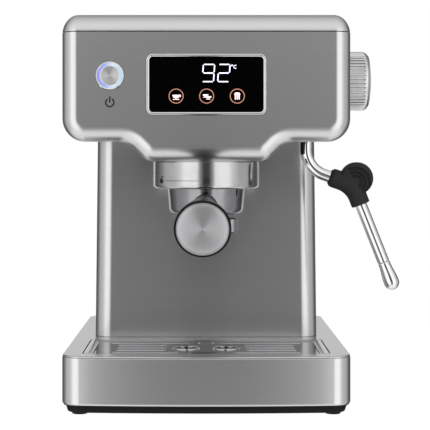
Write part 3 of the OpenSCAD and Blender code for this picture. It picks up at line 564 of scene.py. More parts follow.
def head_housing():
    """Sides, floor and back of the head, open above, round the column and in front of the tank."""
    corners = [(-HALF, SEAM + BEYOND, 0), (-HALF, HOUSING_Z, 18), (HALF, HOUSING_Z, 18),
               (HALF, SEAM + BEYOND, 0)]
    column_half, column_front = 94.5, -24
    works_half = 58
    cuts = [block((-HALF - 1, COVER_BACK - 1, SEAM - GAP), (HALF + 1, HEAD_BACK + 1, SEAM + BEYOND + 1)),
            block((-column_half, column_front, HOUSING_Z - 1), (column_half, HEAD_BACK + 1, SEAM)),
            block((-works_half, COVER_BACK - 1, HOUSING_Z - 1), (works_half, -23.5, HOUSING_Z + 6)),
            upright_bore(WAND_X, WAND_Y, 8, HOUSING_Z - 2, HOUSING_Z + 6),
            placed(upright_bore(0, 0, 7, -4, 4), AT_KNOB)]
    vent_x, vent_z, vent_pitch, vent_height = 104, 245, 6, 2.4
    for x in (-vent_x, vent_x):
        for row in range(6):
            z = vent_z + vent_pitch * row
            cuts.append(block((x - 5, HEAD_BACK - 5, z), (x + 5, HEAD_BACK + 5, z + vent_height)))
    finished("head_housing", pillow(corners, COVER_BACK + GAP, HEAD_BACK, 2.0, EDGE), cuts=cuts,
             round_edges=0.25)


def top_cover():
    """Pressed lid: its sides lean in a little at the seam, then round over to a flat top."""
    top = box_mm("top_cover")[1].z
    corners = box_corners(-HALF, HALF, FRONT, HEAD_BACK, EDGE)
    lean = math.radians(10)
    steps = 14

    def level(shell, k):
        a = lean + (math.pi / 2 - lean) * k / steps
        inset = EDGE * (math.cos(lean) - math.cos(a)) / math.cos(lean)
        rise = (math.sin(a) - math.sin(lean)) / (1 - math.sin(lean))
        inset = shell + inset * (EDGE - shell) / EDGE
        return at_z(outline(corners, inset), SEAM + GAP + (top - SEAM - GAP - shell) * rise)

    flange = [at_z(outline(corners, 9), SEAM + GAP + rise) for rise in (0.0, 1.3)]
    flange.append(at_z(outline(corners, 2.0), SEAM + GAP + 1.3))
    rings = [level(0.0, k) for k in reversed(range(steps + 1))] + flange
    rings += [level(1.6, k) for k in range(3, steps + 1)]
    warmer_low, warmer_high = box_mm("cup_warmer")
    around_warmer = box_corners(warmer_low.x - GAP, warmer_high.x + GAP, warmer_low.y - GAP,
                                warmer_high.y + GAP, 10)
    dish = layers(around_warmer, ((0, top - 6), (0, top + 1)))
    bay_half, bay_front = 92.6, 61.5
    bay = block((-bay_half, bay_front, SEAM - 1), (bay_half, HEAD_BACK + 1, top + 1))
    finished("top_cover", skin(rings), cuts=[dish, bay], round_edges=0.35)


def cup_warmer():
    """Dished steel plate with a rolled rim and long ventilation slots."""
    low, high = box_mm("cup_warmer")
    corners = box_corners(low.x, high.x, low.y, high.y, 10)
    profile = [(0.0, low.z), (0.0, high.z - 0.4), (0.4, high.z), (1.6, high.z), (2.4, high.z - 0.5),
               (3.4, low.z + 1.4), (4.4, low.z + 1.0)]
    slot = skin([at_z(stadium(-62, 62, 0, 1.5), z) for z in (low.z - 2, low.z + 3)])
    slots = [placed(slot, move(x, -32, 0) @ turn(90, "Z")) for x in range(-80, 81, 20)]
    finished("cup_warmer", layers(corners, profile), cuts=slots, round_edges=0.3)


# ---------- base ----------

shell_low, shell_high = box_mm("base_shell")
deck_low, deck_high = box_mm("deck_plate")
BASE_EDGE = 16.0
tray_low, tray_high = box_mm("drip_tray")


def base_corners():
    """Plan of the base: a bowed front edge between two round corners, and a straight back."""
    front, back, bow = shell_low.y, shell_high.y, 5.0
    bow_radius = (HALF * HALF + bow * bow) / (2 * bow)
    corners = [(-HALF, front + bow, BASE_EDGE)]
    for k in range(-9, 10):
        x = 10.0 * k
        corners.append((x, front + bow_radius - math.sqrt(bow_radius ** 2 - x * x), 0))
    return corners + [(HALF, front + bow, BASE_EDGE), (HALF, back, 9), (-HALF, back, 9)]


def base_band():
    """Steel band round the base, its top edge turned in under the deck's lip."""
    wall = 1.2
    low, high = shell_low.z, shell_high.z
    profile = [(1.5, low), (0.9, low + 0.15), (0.35, low + 0.7), (0.05, low + 1.5), (0.0, low + 2.2),
               (0.0, high - 0.9), (0.3, high - 0.25), (1.0, high), (wall, high), (wall, low + 2.2),
               (1.5, low + 1.2)]
    gland_low, gland_high = box_mm("power_gland")
    gland = (gland_low + gland_high) / 2
    hole = bore(gland.x, gland.z, 8.1, HEAD_BACK, shell_high.y + 2)
    slot = slot_of["base_shell"]
    piece("base_band_finished", layers(base_corners(), profile, around=True), FINISHES[slot], "machine",
          slot, ["base_shell"], [hole])


def base_pan():
    """Black plinth under the band, drawn in towards the counter."""
    foot = box_mm("base_pan")[0].z
    top = shell_low.z
    profile = [(5.0, foot), (4.4, foot + 0.4), (3.4, top - 2.8), (3.0, top - 0.9), (1.2, top - 0.6),
               (0.8, top), (5.0, top), (5.2, foot + 3.0)]
    finished("base_pan", layers(base_corners(), profile))


def body_screws():
    """Socket screws: three pairs up through the plinth and two pairs in the back."""
    def screw(head, thick, length):
        profile = [(0, 0.8), (1.3, 0.8), (1.3, 0), (head - 0.5, 0.05), (head, 0.5), (head, thick),
                   (1.5, thick), (1.5, thick + length), (0, thick + length)]
        return turned(profile, 36)

    under = [placed(screw(2.4, 1.2, 7.2), move(x, y, 2.6)) for x in (-84, 84) for y in (-132, 20, 112)]
    behind = [placed(screw(3.2, 1.6, 6.9), move(x, HEAD_BACK + 1.6, z) @ turn(90, "X"))
              for x in (-104, 104) for z in (232, 292)]
    finished("body_screws", joined(*under, *behind))


def deck_plate():
    """Deck with a soft rolled lip, cut out for the tray and the tank's dock."""
    low, high = deck_low.z, deck_high.z
    profile = [(1.2, low), (0.45, low + 0.1), (0.3, low + 0.45), (0.45, high - 0.5), (0.85, high - 0.12),
               (1.6, high)]
    room = 0.7
    opening = box_corners(tray_low.x - room, tray_high.x + room, tray_low.y - room, tray_high.y + room, 6.5)
    dock_low, dock_high = box_mm("tank_dock")
    cuts = [layers(opening, ((0, low - 1), (0, high + 1))),
            block((-85, -15, low - 1), (85, 51, high + 1)),
            upright_bore(0, (dock_low.y + dock_high.y) / 2, 15.2, low - 1, high + 1)]
    finished("deck_plate", layers(base_corners(), profile), cuts=cuts, round_edges=0.25)


def column():
    """Bent sheet round the works, narrowing a little towards the head."""
    low, high = box_mm("column_skin")
    narrowing = 191.5 / 195.4
    wall = 1.2
    corners = [(low.x, high.y, 0), (low.x, low.y, 15), (high.x, low.y, 15), (high.x, high.y, 0)]
    path = outline(corners, 0.0, 20, closed=False) + outline(corners, wall, 20, closed=False)[::-1]
    rings = [at_z([(x * scale, y) for x, y in path], z)
             for z, scale in ((low.z + 0.3, 1.0), (high.z, narrowing))]
    finished("column_skin", skin(rings))


# ---------- tray ----------

def drip_tray():
    """Pressed tray with a rolled rim that slopes in to the grille's seat."""
    corners = box_corners(tray_low.x, tray_high.x, tray_low.y, tray_high.y, 6)
    foot, top = tray_low.z, tray_high.z
    profile = [(3.5, foot), (1.8, foot + 1.5), (1.5, top - 2.4), (0.2, top - 1.6), (0.0, top - 0.9),
               (0.25, top - 0.2), (0.9, top), (3.2, top - 0.05), (5.0, top - 0.4), (7.1, top - 1.25),
               (7.35, top - 2.5), (9.6, top - 2.7), (9.8, top - 5.8), (3.7, top - 5.9), (3.5, foot + 3.5),
               (5.5, foot + 2.0)]
    finished("drip_tray", layers(corners, profile), "drip_tray", sharp=30)


def lip(points_at, height):
    """Low round lip along a closed outline; points_at(offset) gives the outline moved outward."""
    z0 = box_mm("drip_grille")[0].z + 1.1
    rings = []
    for k in range(7):
        a = math.radians(30 * k)
        rings.append(at_z(points_at(0.75 - 0.75 * math.cos(a)), z0 + height * math.sin(a)))
    return skin(rings, around=True)


def drip_grille():
    """Thin plate with rows of slots and two round drains, each opening with a raised lip."""
    low, high = box_mm("drip_grille")
    plate = box_corners(low.x, high.x, low.y, high.y, 5)
    top = low.z + 1.2
    profile = [(0.3, low.z), (0.0, low.z + 0.3), (0.0, top - 0.4), (0.35, top), (3.0, top)]
    pitch = 14.35
    back_row = high.y - 10.1
    rows = [(6, 80, 0), (34, 73, 1), (34, 73, 2), (34, 73, 3), (24, 76, 4)]
    slots = []
    for x0, x1, row in rows:
        y = back_row - pitch * row
        slots += [(x0, x1, y), (-x1, -x0, y)]
    slots.append((-13, 14, back_row - pitch * 4 - 4))
    slot_r, drain_r = 1.2, 9.2
    drains = [(-16.6, -87.0), (16.6, -87.0)]
    cuts = [skin([at_z(stadium(x0, x1, y, slot_r), z) for z in (low.z - 1, high.z + 1)])
            for x0, x1, y in slots]
    cuts += [upright_bore(x, y, drain_r, low.z - 1, high.z + 1) for x, y in drains]
    finished("drip_grille", layers(plate, profile), "drip_grille", cuts=cuts)
    lips = [lip(lambda out, s=s: stadium(s[0] - out, s[1] + out, s[2], slot_r + out), 0.7) for s in slots]
    ring = [(9.2, 0.9), (9.3, 1.9), (9.8, 2.3), (10.4, 2.4), (10.9, 2.2), (11.5, 1.1), (11.5, 0.9)]
    for x, y in drains:
        lips.append(placed(turned(ring, 64, around=True), move(x, y, low.z)))
        for angle in (0, 60, 120):
            lips.append(placed(block((-9.5, -0.9, 0), (9.5, 0.9, 1)), move(x, y, low.z) @ turn(angle, "Z")))
    # The lips belong to the grille's pressing but take the lighter tray steel: a painted highlight along the
    # slot and drain edges.
    piece("drip_grille_lips_painted_highlight", joined(*lips), FINISHES["tray_steel"], "drip_grille", "grille_steel")


# ---------- group ----------

HALF_COLLAR = (collar_high.x - collar_low.x) / 2


def group_collar():
    """Turned and chromed collar the portafilter locks into, its lower edge rounded."""
    outer, inner = HALF_COLLAR, HALF_COLLAR - 3.5
    low, high = collar_low.z, collar_high.z
    profile = [(inner, high), (inner, low + 0.8), (inner + 0.4, low + 0.15)]
    profile += arc(outer - 3, low + 3, 3, -90, 0, 8) + [(outer, high - 0.6), (outer - 0.3, high)]
    finished("group_collar", placed(turned(profile, 128, around=True), move(0, GROUP_Y, 0)))


def on_collar(part, angle, z):
    """Wraps a flat part, drawn in X and Z with Y as depth, on to the collar at an angle from its front."""
    verts, faces = part
    wrapped = []
    for x, y, up in verts:
        a = math.radians(angle) + x / HALF_COLLAR
        r = HALF_COLLAR - y
        wrapped.append((r * math.sin(a), GROUP_Y - r * math.cos(a), z + up))
    return wrapped, faces


def flat(points, depth=0.2, proud=0.08):
    """Thin plate from an outline in X and Z; its front stands proud of y = 0."""
    return skin([at_y(points, -proud), at_y(points, depth)])


def ring_plate(radius, width, start=0, end=360, steps=32, proud=0.08, depth=0.2):
    """Flat ring or part of one, in X and Z, about the origin."""
    if end - start >= 360:
        outer = arc(0, 0, radius, 0, 360 - 360 / steps, steps - 1)
        inner = arc(0, 0, radius - width, 0, 360 - 360 / steps, steps - 1)
        edges = ((outer, depth), (outer, -proud), (inner, -proud), (inner, depth))
        return skin([at_y(points, y) for points, y in edges], around=True)
    points = arc(0, 0, radius, start, end, steps) + arc(0, 0, radius - width, end, start, steps)
    return flat(points, depth, proud)


def collar_marks():
    """Padlocks for locked and unlocked, joined by a row of dots."""
    body = flat(outline(box_corners(-2.5, 2.5, -2.8, 0.9, 1.5), 0, 5))
    shackle = placed(ring_plate(1.9, 0.85, 0, 180, 12), move(0, 0, 0.8))
    opened = placed(ring_plate(1.9, 0.85, 0, 180, 12), move(1.2, 0, 1.2) @ turn(-28, "Y"))
    marks = [on_collar(joined(body, shackle), 0, 186), on_collar(joined(body, opened), -56, 186)]
    dot = flat(arc(0, 0, 0.48, 0, 330, 11))
    for k in range(14):
        marks.append(on_collar(dot, -47 + 38 * k / 13, 185.3))
    piece("collar_marks", joined(*marks), black_ink, "machine", "black_abs")


# ---------- portafilter ----------

YAW = move(0, GROUP_Y, 0) @ turn(-1.25, "Z")
ALONG_HANDLE = YAW @ move(0, -33, 166.2) @ turn(98, "X")


def portafilter_cup():
    """Turned cup with a rounded floor, three lugs under the collar and the neck the handle screws on."""
    cup_z, top, low_r, top_r, wall = 157.3, 191.4, 30.85, 32.25, 2.2
    outer = [(4, cup_z)] + arc(low_r - 5, cup_z + 5, 5, -90, -4, 10)
    outer += [(top_r, collar_low.z), (top_r, top - 0.4), (top_r - 0.4, top)]
    inner = [(top_r - wall, top), (top_r - wall, collar_low.z), (low_r - wall, cup_z + 7),
             (low_r - 5, cup_z + 3), (4, cup_z + 3)]
    boss = [(4, cup_z + 1), (8, cup_z + 1), (8, cup_z - 1.5), (7.5, cup_z - 2), (4, cup_z - 2)]
    parts = [placed(turned(outer + inner, 128, around=True), YAW),
             placed(turned(boss, 48, around=True), YAW)]
    for middle in (30, 150, 270):
        ring = arc(0, 0, 37.4, middle - 11, middle + 11, 8) + arc(0, 0, 31, middle + 11, middle - 11, 8)
        parts.append(placed(skin([at_z(ring, z) for z in (186.4, 190.4)]), YAW))
    neck = [(0, -1.6), (8.6, -1.6), (8.6, 8.6), (8.3, 9.4), (9.3, 10.0), (9.3, 11.0), (0, 11.0)]
    parts.append(placed(turned(neck, 64), ALONG_HANDLE))
    finished("portafilter_cup", joined(*parts), "portafilter")


def twin_spout():
    """Cast spout: a bridge from the cup's middle to two round outlets."""
    low, high = 142.0, 154.0
    tube = [(4.4, low + 0.3), (4.7, low), (5.9, low), (6.3, low + 0.5), (6.3, high - 1), (5.3, high),
            (4.4, high)]
    parts = [placed(turned(tube, 48, around=True), YAW @ move(side * 19.5, 0, 0)) for side in (-1, 1)]
    bridge = layers(box_corners(-19.5, 19.5, -5.4, 5.4, 2),
                    ((0.8, 147.4), (0, 148.2), (0, 153.2), (0.8, high)))
    parts.append(placed(bridge, YAW))
    hub = [(0, 147.4), (8.9, 147.4), (9.5, 148), (9.5, 155.2), (0, 155.2)]
    parts.append(placed(turned(hub, 48), YAW))
    finished("twin_spout", joined(*parts), "portafilter")


def handle_grip():
    """Moulded handle: slim at the cup, with a thumb ridge on top, swelling to a ring at its end."""
    profile = [(11.2, 9.4, 0.0), (11.5, 9.8, 0.02), (14, 10.4, 0.08), (20, 10.2, 0.11), (28, 10.3, 0.12),
               (46, 12.0, 0.12), (60, 14.1, 0.11), (72, 16.3, 0.10), (84, 18.3, 0.08), (94, 19.8, 0.04),
               (100, 20.6, 0.01), (103, 21.0, 0.0), (106.4, 21.1, 0.0), (107, 20.6, 0.0), (107, 19.8, 0.0),
               (104.6, 19.7, 0.0)]
    rings = [[(0, 0, profile[0][0])]]
    for z, radius, ridge in profile:
        rings.append(shaped_ring(96, z, lambda a: radius * (1 + ridge * max(0.0, math.sin(a)) ** 9)))
    rings.append([(0, 0, profile[-1][0])])
    finished("handle_grip", placed(skin(rings), ALONG_HANDLE), "portafilter", sharp=50)


def handle_cap():
    """Slightly domed metal disc set in the handle's end."""
    dome = [(19.55, 104.7), (19.6, 107.0), (19.3, 107.5)]
    tilts = [math.radians(78 - 78 * k / 12) for k in range(13)]
    dome += [(19 * math.sin(a), 106.2 + 2.5 * math.cos(a)) for a in tilts]
    dome[-1] = (0, dome[-1][1])
    finished("handle_cap", placed(turned([(0, 104.7)] + dome, 96), ALONG_HANDLE), "portafilter", sharp=60)


# ---------- controls ----------

def frame_ring(corners, profile):
    """Ring that follows an outline in X and Z, from a profile of (inset, y)."""
    return skin([at_y(outline(corners, inset, 8), y) for inset, y in profile], around=True)


def display():
    """Chromed bezel with a smoked glass set just behind its edge."""
    corners = box_corners(bezel_low.x, bezel_high.x, bezel_low.z, bezel_high.z, 5.2)
    y = FRONT
    rim = [(0.0, y + 0.1), (0.05, y - 0.6), (0.45, y - 0.95), (1.2, y - 1.0), (1.9, y - 0.8), (2.3, y - 0.3),
           (2.3, y + 3.5), (1.2, y + 3.5), (1.2, y + 0.1)]
    finished("display_bezel", frame_ring(corners, rim))
    pane = [(5.0, y + 3.0), (2.35, y + 3.0), (2.35, y - 0.2), (2.6, y - 0.4), (5.0, y - 0.4)]
    finished("display_glass", skin([at_y(outline(corners, inset, 8), depth) for inset, depth in pane]))


SEGMENTS = {"9": "abcdfg", "2": "abdeg"}


def digit(character, x, z, width, height):
    """Seven-segment digit in X and Z with its low left corner at x, z."""
    bar, gap = 0.9, 0.3
    mid = height / 2
    spots = {"a": (0, height, True), "g": (0, mid, True), "d": (0, 0, True), "f": (0, mid, False),
             "b": (width, mid, False), "e": (0, 0, False), "c": (width, 0, False)}
    lean = math.tan(math.radians(4))
    parts = []
    for name in SEGMENTS[character]:
        px, pz, level = spots[name]
        length = (width if level else mid) - 2 * gap
        half = bar / 2
        run = [(gap, 0), (gap + half, -half), (gap + length - half, -half), (gap + length, 0),
               (gap + length - half, half), (gap + half, half)]
        if not level:
            run = [(-v, u) for u, v in run]
        points = [(x + px + u + (pz + v) * lean, z + pz + v) for u, v in run]
        parts.append(placed(flat(points, 0.1, 0.12), move(0, FRONT - 0.4, 0)))
    return joined(*parts)


def display_marks():
    """Lit digits, degree sign and three ringed symbols: a cup, two cups and steam."""
    front = FRONT - 0.4
    digits = [digit("9", -3.3, 263.9, 8.9, 13.6), digit("2", 8.9, 263.9, 8.9, 13.6)]
    digits.append(placed(ring_plate(0.7, 0.4, steps=16), move(20.3, front, 276.8)))
    digits.append(placed(ring_plate(1.5, 0.5, 55, 305, 16), move(22.9, front, 275.6)))
    piece("display_digits", joined(*digits), digit_white, "machine", "display_glass")
    ring_x = (-23.9, 0.2, 24.4)
    ring_z = 252.5
    rings = [placed(ring_plate(5.9, 0.65, steps=48), move(x, front, ring_z)) for x in ring_x]
    piece("display_rings", joined(*rings), icon_copper, "machine", "display_glass")
    bowl = flat([(-3.0, 1.0)] + arc(0, 1.0, 2.9, 180, 360, 12) + [(3.0, 1.0)])
    ear = placed(ring_plate(1.1, 0.5, -90, 90, 8), move(2.8, 0, 0.2))
    saucer = flat(outline(box_corners(-2.6, 2.6, -2.9, -2.3, 0.25), 0, 3))
    cup = joined(bowl, ear, saucer)
    small = placed(cup, Matrix.Diagonal((0.66, 1, 0.66, 1)))
    pair = joined(placed(small, move(-1.1, 0, 0.7)), placed(small, move(1.3, 0, -0.8)))
    stem = [flat(outline(box_corners(x - 0.5, x + 0.5, -2.8, 1.4, 0.4), 0, 3)) for x in (-1.5, 0, 1.5)]
    hood = flat([(-2.6, 1.2), (2.6, 1.2), (1.4, 2.9), (-1.4, 2.9)])
    shapes = [cup, pair, joined(*stem, hood)]
    symbols = [placed(shape, move(x, front, ring_z)) for shape, x in zip(shapes, ring_x)]
    piece("display_symbols", joined(*symbols), icon_rose, "machine", "display_glass")


def power_button():
    """Push button: chromed rim, lit ring and a spun face, with the power symbol printed below."""
    rim = [(10.6, 3), (10.6, -0.1), (11.25, -0.1), (11.2, -0.8), (10.95, -1.2), (10.6, -1.4), (10.3, -1.3),
           (10.1, -1.0), (10.1, 3)]
    finished("button_bezel", placed(turned(rim, 96, around=True), AT_BUTTON))
    ring = [(8.1, 2.6), (8.1, -0.6), (8.4, -0.95), (9.7, -1.0), (10.05, -0.7), (10.05, 2.6)]
    finished("button_light_ring", placed(turned(ring, 96, around=True), AT_BUTTON))
    face = [(0, 6.4), (3, 6.4), (3, 3), (7.95, 3), (7.95, -1.5), (7.8, -1.95), (7.3, -2.2), (6.9, -2.15),
            (3.5, -1.95), (0, -1.85)]
    finished("power_button", placed(turned(face, 96), AT_BUTTON), "power_button")
    bar = flat(outline(box_corners(-0.6, 0.6, 0.0, 4.9, 0.2), 0, 2))
    symbol = joined(ring_plate(3.85, 1.25, 120, 420, 32), bar)
    piece("power_symbol", placed(symbol, move(BUTTON[0], FRONT, 247.4)), black_ink, "machine", "black_abs")


def steam_knob():
    """Turned knob with forty-four ribs, rolled over at both ends, and its spun cap."""
    ribs, per_rib = 44, 10
    radius, length = 25.25, 22.8
    levels = [(1.0, 1.6, 0.0), (1.1, 0.6, 0.2), (1.8, 0.05, 0.9), (2.6, 0.0, 1.0), (18.0, 0.0, 1.0),
              (19.4, 0.1, 0.8), (20.0, 0.3, 0.1), (21.0, 0.7, 0.0), (21.6, 1.2, 0.0), (22.3, 1.9, 0.0),
              (length, 2.9, 0.0)]
    rings = [[(0, 0, levels[0][0])]]
    for z, shrink, depth in levels:
        rings.append(shaped_ring(ribs * per_rib, z, lambda a: radius - shrink - 1.5 * depth
                                 * (1 - max(0.0, 0.5 - 0.5 * math.cos(ribs * a)) ** 0.4)))
    rings.append([(0, 0, length)])
    finished("steam_knob", placed(skin(rings), AT_KNOB), "steam_knob", sharp=60)
    cap = [(0, 22.4), (22.4, 22.4), (22.3, 23.1), (21.6, 23.6), (18, 24.2), (12, 24.6), (0, 24.9)]
    finished("knob_cap", placed(turned(cap, 96), AT_KNOB), "steam_knob", sharp=50)


# ---------- wand ----------

TUBE_R = 5.0
BEND_R, BEND_Z, FIRST_LEAN, LEAN = 22.0, 210.7, 70.0, 21.6
GRIP = (122.9, WAND_Y, 181.1)
DOWN_TUBE = move(*GRIP) @ turn(180 - LEAN, "Y")
UP_TUBE = move(*GRIP) @ turn(-FIRST_LEAN, "Y")


def wand():
    """Polished tube that comes straight down, bends out to the grip, then leads down to the nozzle."""
    top = [(WAND_X, WAND_Y, z) for z in (230.4, 222, 214)]
    centre = (WAND_X + BEND_R, BEND_Z)
    bend = [(x, WAND_Y, z) for x, z in arc(*centre, BEND_R, 180, 180 + FIRST_LEAN, 24)]
    end = UP_TUBE @ Vector((0, 0, 14.5))
    finished("wand_tube", swept(top + bend + [tuple(end)], TUBE_R, 48), "steam_wand", sharp=50)
    lower = [tuple(DOWN_TUBE @ Vector((0, 0, z))) for z in (4.4, 30, 68.6)]
    finished("wand_lower_tube", swept(lower, TUBE_R, 48), "steam_wand", sharp=50)
    tip = [(0, 68.9), (4.6, 68.9), (5.0, 69.3), (5.0, 70.0)]
    tip += [(5.0 + 1.4 * (0.5 - 0.5 * math.cos(math.pi * k / 8)), 70 + 17 * k / 8) for k in range(1, 9)]
    tip += arc(0, 87.1, 6.4, 8, 80, 12) + [(0.9, 93.4), (0.8, 91.0), (0, 91.0)]
    finished("wand_nozzle", placed(turned(tip, 64), DOWN_TUBE), "steam_wand", sharp=60)


def wand_grip():
    """Soft grip moulded round the tube's elbow: two sleeves, a smooth bend and a ribbed finger disc."""
    sleeve, bend = 7.9, 24.0
    half_turn = math.radians(FIRST_LEAN - LEAN) / 2
    leg = bend * math.tan(half_turn)
    lean = math.radians(LEAN)
    centre_x = GRIP[0] + leg * math.sin(lean) - bend * math.cos(lean)
    centre_z = GRIP[2] - leg * math.cos(lean) - bend * math.sin(lean)
    elbow = [(x, WAND_Y, z) for x, z in arc(centre_x, centre_z, bend, FIRST_LEAN, LEAN, 24)]
    upper = [(0, leg - 1), (sleeve, leg - 1), (sleeve, 18.4), (7.4, 19.4), (5.6, 21.3), (0, 21.3)]
    lower = [(0, leg - 1), (sleeve, leg - 1), (sleeve, 16.8), (7.3, 17.4), (0, 17.4)]
    disc_x, disc_z, disc_r = GRIP[0] + 2.7, GRIP[2] + 5.8, 13.5
    coin = [(0, -7.4), (disc_r - 2, -7.4), (disc_r - 0.7, -6.9), (disc_r, -5.6), (disc_r, 5.6),
            (disc_r - 0.7, 6.9), (disc_r - 2, 7.4), (0, 7.4)]
    parts = [placed(turned(upper, 64), UP_TUBE), placed(turned(lower, 64), DOWN_TUBE),
             swept(elbow, sleeve, 64),
             placed(turned(coin, 96), move(disc_x, WAND_Y, disc_z) @ turn(90, "X"))]
    grip = new_object("wand_grip_finished", joined(*parts))
    modifier(grip, "REMESH", mode="VOXEL", voxel_size=0.4 * MM)
    modifier(grip, "SMOOTH", factor=0.5, iterations=4)
    settle(grip)
    ripple_x, ripple_z = GRIP[0] + 0.9, GRIP[2] + 2.6
    first, last = -58, 128
    for vertex in grip.data.vertices:
        x, y, z = vertex.co / MM
        depth = y - WAND_Y
        reach = math.hypot(x - ripple_x, z - ripple_z)
        bearing = math.degrees(math.atan2(z - ripple_z, x - ripple_x))
        on_face = abs(depth) >= 5 and math.hypot(x - disc_x, z - disc_z) <= disc_r - 0.9
        if not on_face or not first < bearing < last:
            continue
        fade = min(1.0, (bearing - first) / 14, (last - bearing) / 14)
        groove = max(0.0, 1 - (min(abs(reach - r) for r in (4.9, 8.2, 11.6)) / 1.25) ** 2)
        ledge = 0.5 * max(0.0, 1 - reach / 5) if reach < 5 else 0.0
        vertex.co.y -= math.copysign((1.5 * groove - ledge) * fade * MM, depth)
    dress(grip, FINISHES["grip_rubber"], "steam_wand", "grip_rubber", 60)
    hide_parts("wand_grip")


# ---------- tank ----------

def tank_lid():
    """Hinged lid: follows the top cover's round rear edge, hollow below, with a finger dip."""
    low, high = box_mm("tank_lid")
    front = low.y + 0.3
    corners = [(front, low.z, 0.6), (high.y, low.z, 0.6), (high.y, high.z, 12.0), (front, high.z, 2.9)]
    profile = [(0.5, low.x), (0.1, low.x + 0.2), (0.0, low.x + 0.6), (0.0, high.x - 0.6),
               (0.1, high.x - 0.2), (0.5, high.x)]
    rings = [at_x(outline(corners, inset, 12), x) for inset, x in profile]
    cuts = [block((low.x + 3, low.y + 8.5, low.z - 1), (high.x - 3, 127, high.z - 4))]
    cuts += [block((hinge - 3.6, low.y - 2, low.z - 1), (hinge + 3.6, low.y + 9, high.z + 2))
             for hinge in (-60, 60)]
    cuts.append(skin([at_z(stadium(-26, 26, 124, 5), z) for z in (high.z - 1.2, high.z + 1)]))
    finished("tank_lid", skin(rings), "tank_lid", cuts=cuts, round_edges=0.3)


for build in (head_front_cover, head_housing, top_cover, cup_warmer, base_band, base_pan, body_screws,
              deck_plate, column, drip_tray, drip_grille, group_collar, collar_marks, portafilter_cup,
              twin_spout, handle_grip, handle_cap, display, display_marks, power_button, steam_knob, wand,
              wand_grip, tank_lid):
    build()


# ---------- room ----------

# Brightness round the horizon, by bearing from straight in front, right positive: a dim gap where the
# camera stands, a wide soft box to each side of it, darker corners and a dim wall behind.
ROOM = [(-180, 0.85), (-172, 0.85), (-162, 0.12), (-132, 0.12), (-112, 0.30), (-96, 0.62), (-76, 0.66),
        (-60, 0.90), (-48, 1.35), (-19, 1.25), (-15, 0.45), (-13, 0.27), (13, 0.27), (15, 0.45), (19, 1.25),
        (48, 1.35), (60, 0.85), (76, 0.60), (100, 0.55), (112, 0.26), (126, 0.12), (162, 0.12), (172, 0.85),
        (180, 0.85)]
# Brightness above and below, by angle from the front horizon over the top, or underneath, to the back
OVERHEAD = [(0, 1.00), (25, 1.05), (50, 1.00), (90, 0.66), (120, 0.42), (150, 0.20), (180, 0.12)]
UNDERNEATH = [(0, 0.80), (30, 1.00), (90, 1.00), (130, 0.60), (160, 0.20), (180, 0.12)]


def world():
    """Studio seen only in reflections; the camera itself sees plain white."""
    room = bpy.data.worlds.new("studio")
    bpy.context.scene.world = room
    room.use_nodes = True
    tree = room.node_tree
    tree.nodes.clear()

    def math_of(operation, *values):
        return add(tree, "ShaderNodeMath", dict(enumerate(values)), operation=operation).outputs[0]

    def ramp_of(angle, low, stops):
        share = add(tree, "ShaderNodeMapRange", {"Value": angle, "From Min": low, "From Max": math.pi})
        ramp = add(tree, "ShaderNodeValToRGB", {"Fac": share.outputs[0]})
        first = math.degrees(low)
        fill_ramp(ramp, [((a - first) / (180 - first), v) for a, v in stops])
        return ramp.outputs[0]

    def step_of(angle, start, end):
        return add(tree, "ShaderNodeMapRange", {"Value": angle, "From Min": math.radians(start),
                                                "From Max": math.radians(end)},
                   interpolation_type="SMOOTHSTEP").outputs[0]

    def blend_of(share, first, second):
        return add(tree, "ShaderNodeMix", {0: share, 6: first, 7: second}, data_type="RGBA").outputs[2]

    where = add(tree, "ShaderNodeTexCoord")
    split = add(tree, "ShaderNodeSeparateXYZ", {"Vector": where.outputs["Generated"]})
    x, y, z = (split.outputs[axis] for axis in "XYZ")
    forward = math_of("MULTIPLY", y, -1.0)
    bearing = math_of("ARCTAN2", x, forward)
    height = math_of("ARCSINE", z)
    over = math_of("ARCTAN2", math_of("ABSOLUTE", z), forward)
    light = ramp_of(bearing, -math.pi, ROOM)
    aside = step_of(math_of("ABSOLUTE", bearing), 7, 10)
    aloft = step_of(math_of("ABSOLUTE", height), 5, 9)
    light = blend_of(math_of("MAXIMUM", aside, aloft), (0.05, 0.05, 0.05, 1), light)
    light = blend_of(step_of(height, 12, 30), light, ramp_of(over, 0.0, OVERHEAD))
    light = blend_of(step_of(height, -26, -48), light, ramp_of(over, 0.0, UNDERNEATH))
    lit = add(tree, "ShaderNodeBackground", {"Color": light, "Strength": 1.0})
    white = add(tree, "ShaderNodeBackground", {"Color": (1, 1, 1, 1), "Strength": 1.0})
    ray = add(tree, "ShaderNodeLightPath")
    mix = add(tree, "ShaderNodeMixShader", {0: ray.outputs["Is Camera Ray"], 1: lit.outputs[0],
                                            2: white.outputs[0]})
    add(tree, "ShaderNodeOutputWorld", {"Surface": mix.outputs[0]})


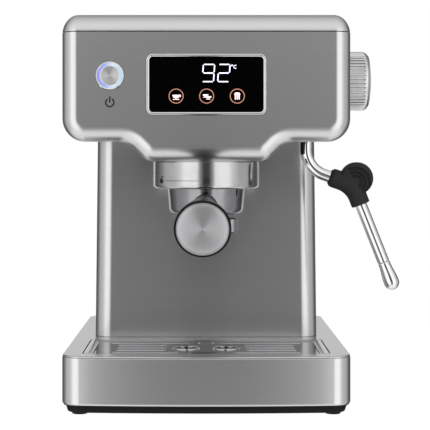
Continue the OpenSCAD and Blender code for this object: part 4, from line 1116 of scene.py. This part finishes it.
def fill_ramp(node, stops):
    """Sets a ramp's stops from (place, brightness) pairs."""
    elements = node.color_ramp.elements
    for place, value in stops[1:-1]:
        elements.new(place).color = (value, value, value, 1)
    elements[0].color = (stops[0][1],) * 3 + (1,)
    elements[-1].color = (stops[-1][1],) * 3 + (1,)


def floor():
    """White sweep: bright to the camera, with only a breath of contact shadow."""
    material, tree, shader = finish("white_paper_sweep", "#a8a8a8", 0.0, 0.9)
    glow = add(tree, "ShaderNodeEmission", {"Color": (1, 1, 1, 1), "Strength": 1.03})
    ray = add(tree, "ShaderNodeLightPath")
    share = add(tree, "ShaderNodeMath", {0: ray.outputs["Is Camera Ray"], 1: 0.97}, operation="MULTIPLY")
    mix = add(tree, "ShaderNodeMixShader", {0: share.outputs[0], 1: shader.outputs[0], 2: glow.outputs[0]})
    output = next(n for n in tree.nodes if n.type == "OUTPUT_MATERIAL")
    tree.links.new(mix.outputs[0], output.inputs["Surface"])
    half, thickness = 2500, 12.0
    sweep = new_object("floor", block((-half, -half, -thickness), (half, half, 0.0)))
    sweep.data.materials.append(material)
    sweep.visible_glossy = False


def lamp(name, place, aim, size, power):
    """Round soft box at a place in metres, turned to face a point."""
    light = bpy.data.lights.new(name, "AREA")
    light.shape = "DISK"
    light.size = size
    light.energy = power
    obj = bpy.data.objects.new(name, light)
    obj.location = place
    obj.rotation_euler = (Vector(aim) - Vector(place)).to_track_quat("-Z", "Y").to_euler()
    obj.visible_glossy = False
    bpy.context.scene.collection.objects.link(obj)


def camera():
    """Long lens, level, shifted down and across so that upright edges stay upright."""
    data = bpy.data.cameras.new("camera")
    data.sensor_width = 36
    data.lens = 112.25
    data.shift_x = 0.0283
    data.shift_y = -0.1184
    obj = bpy.data.objects.new("camera", data)
    obj.location = (-0.0028, -1.196, 0.1988)
    obj.rotation_euler = (math.pi / 2, 0, 0)
    bpy.context.scene.collection.objects.link(obj)
    bpy.context.scene.camera = obj


world()
floor()
lamp("left_softbox", (-1.1, -1.3, 1.0), (0, 0, 0.15), 0.8, 6)
lamp("right_softbox", (1.1, -1.2, 1.1), (0, 0, 0.15), 0.8, 6)
lamp("top_softbox", (0, 0.1, 1.6), (0, 0, 0.2), 1.2, 6)
camera()
bpy.context.scene.view_settings.view_transform = "Standard"
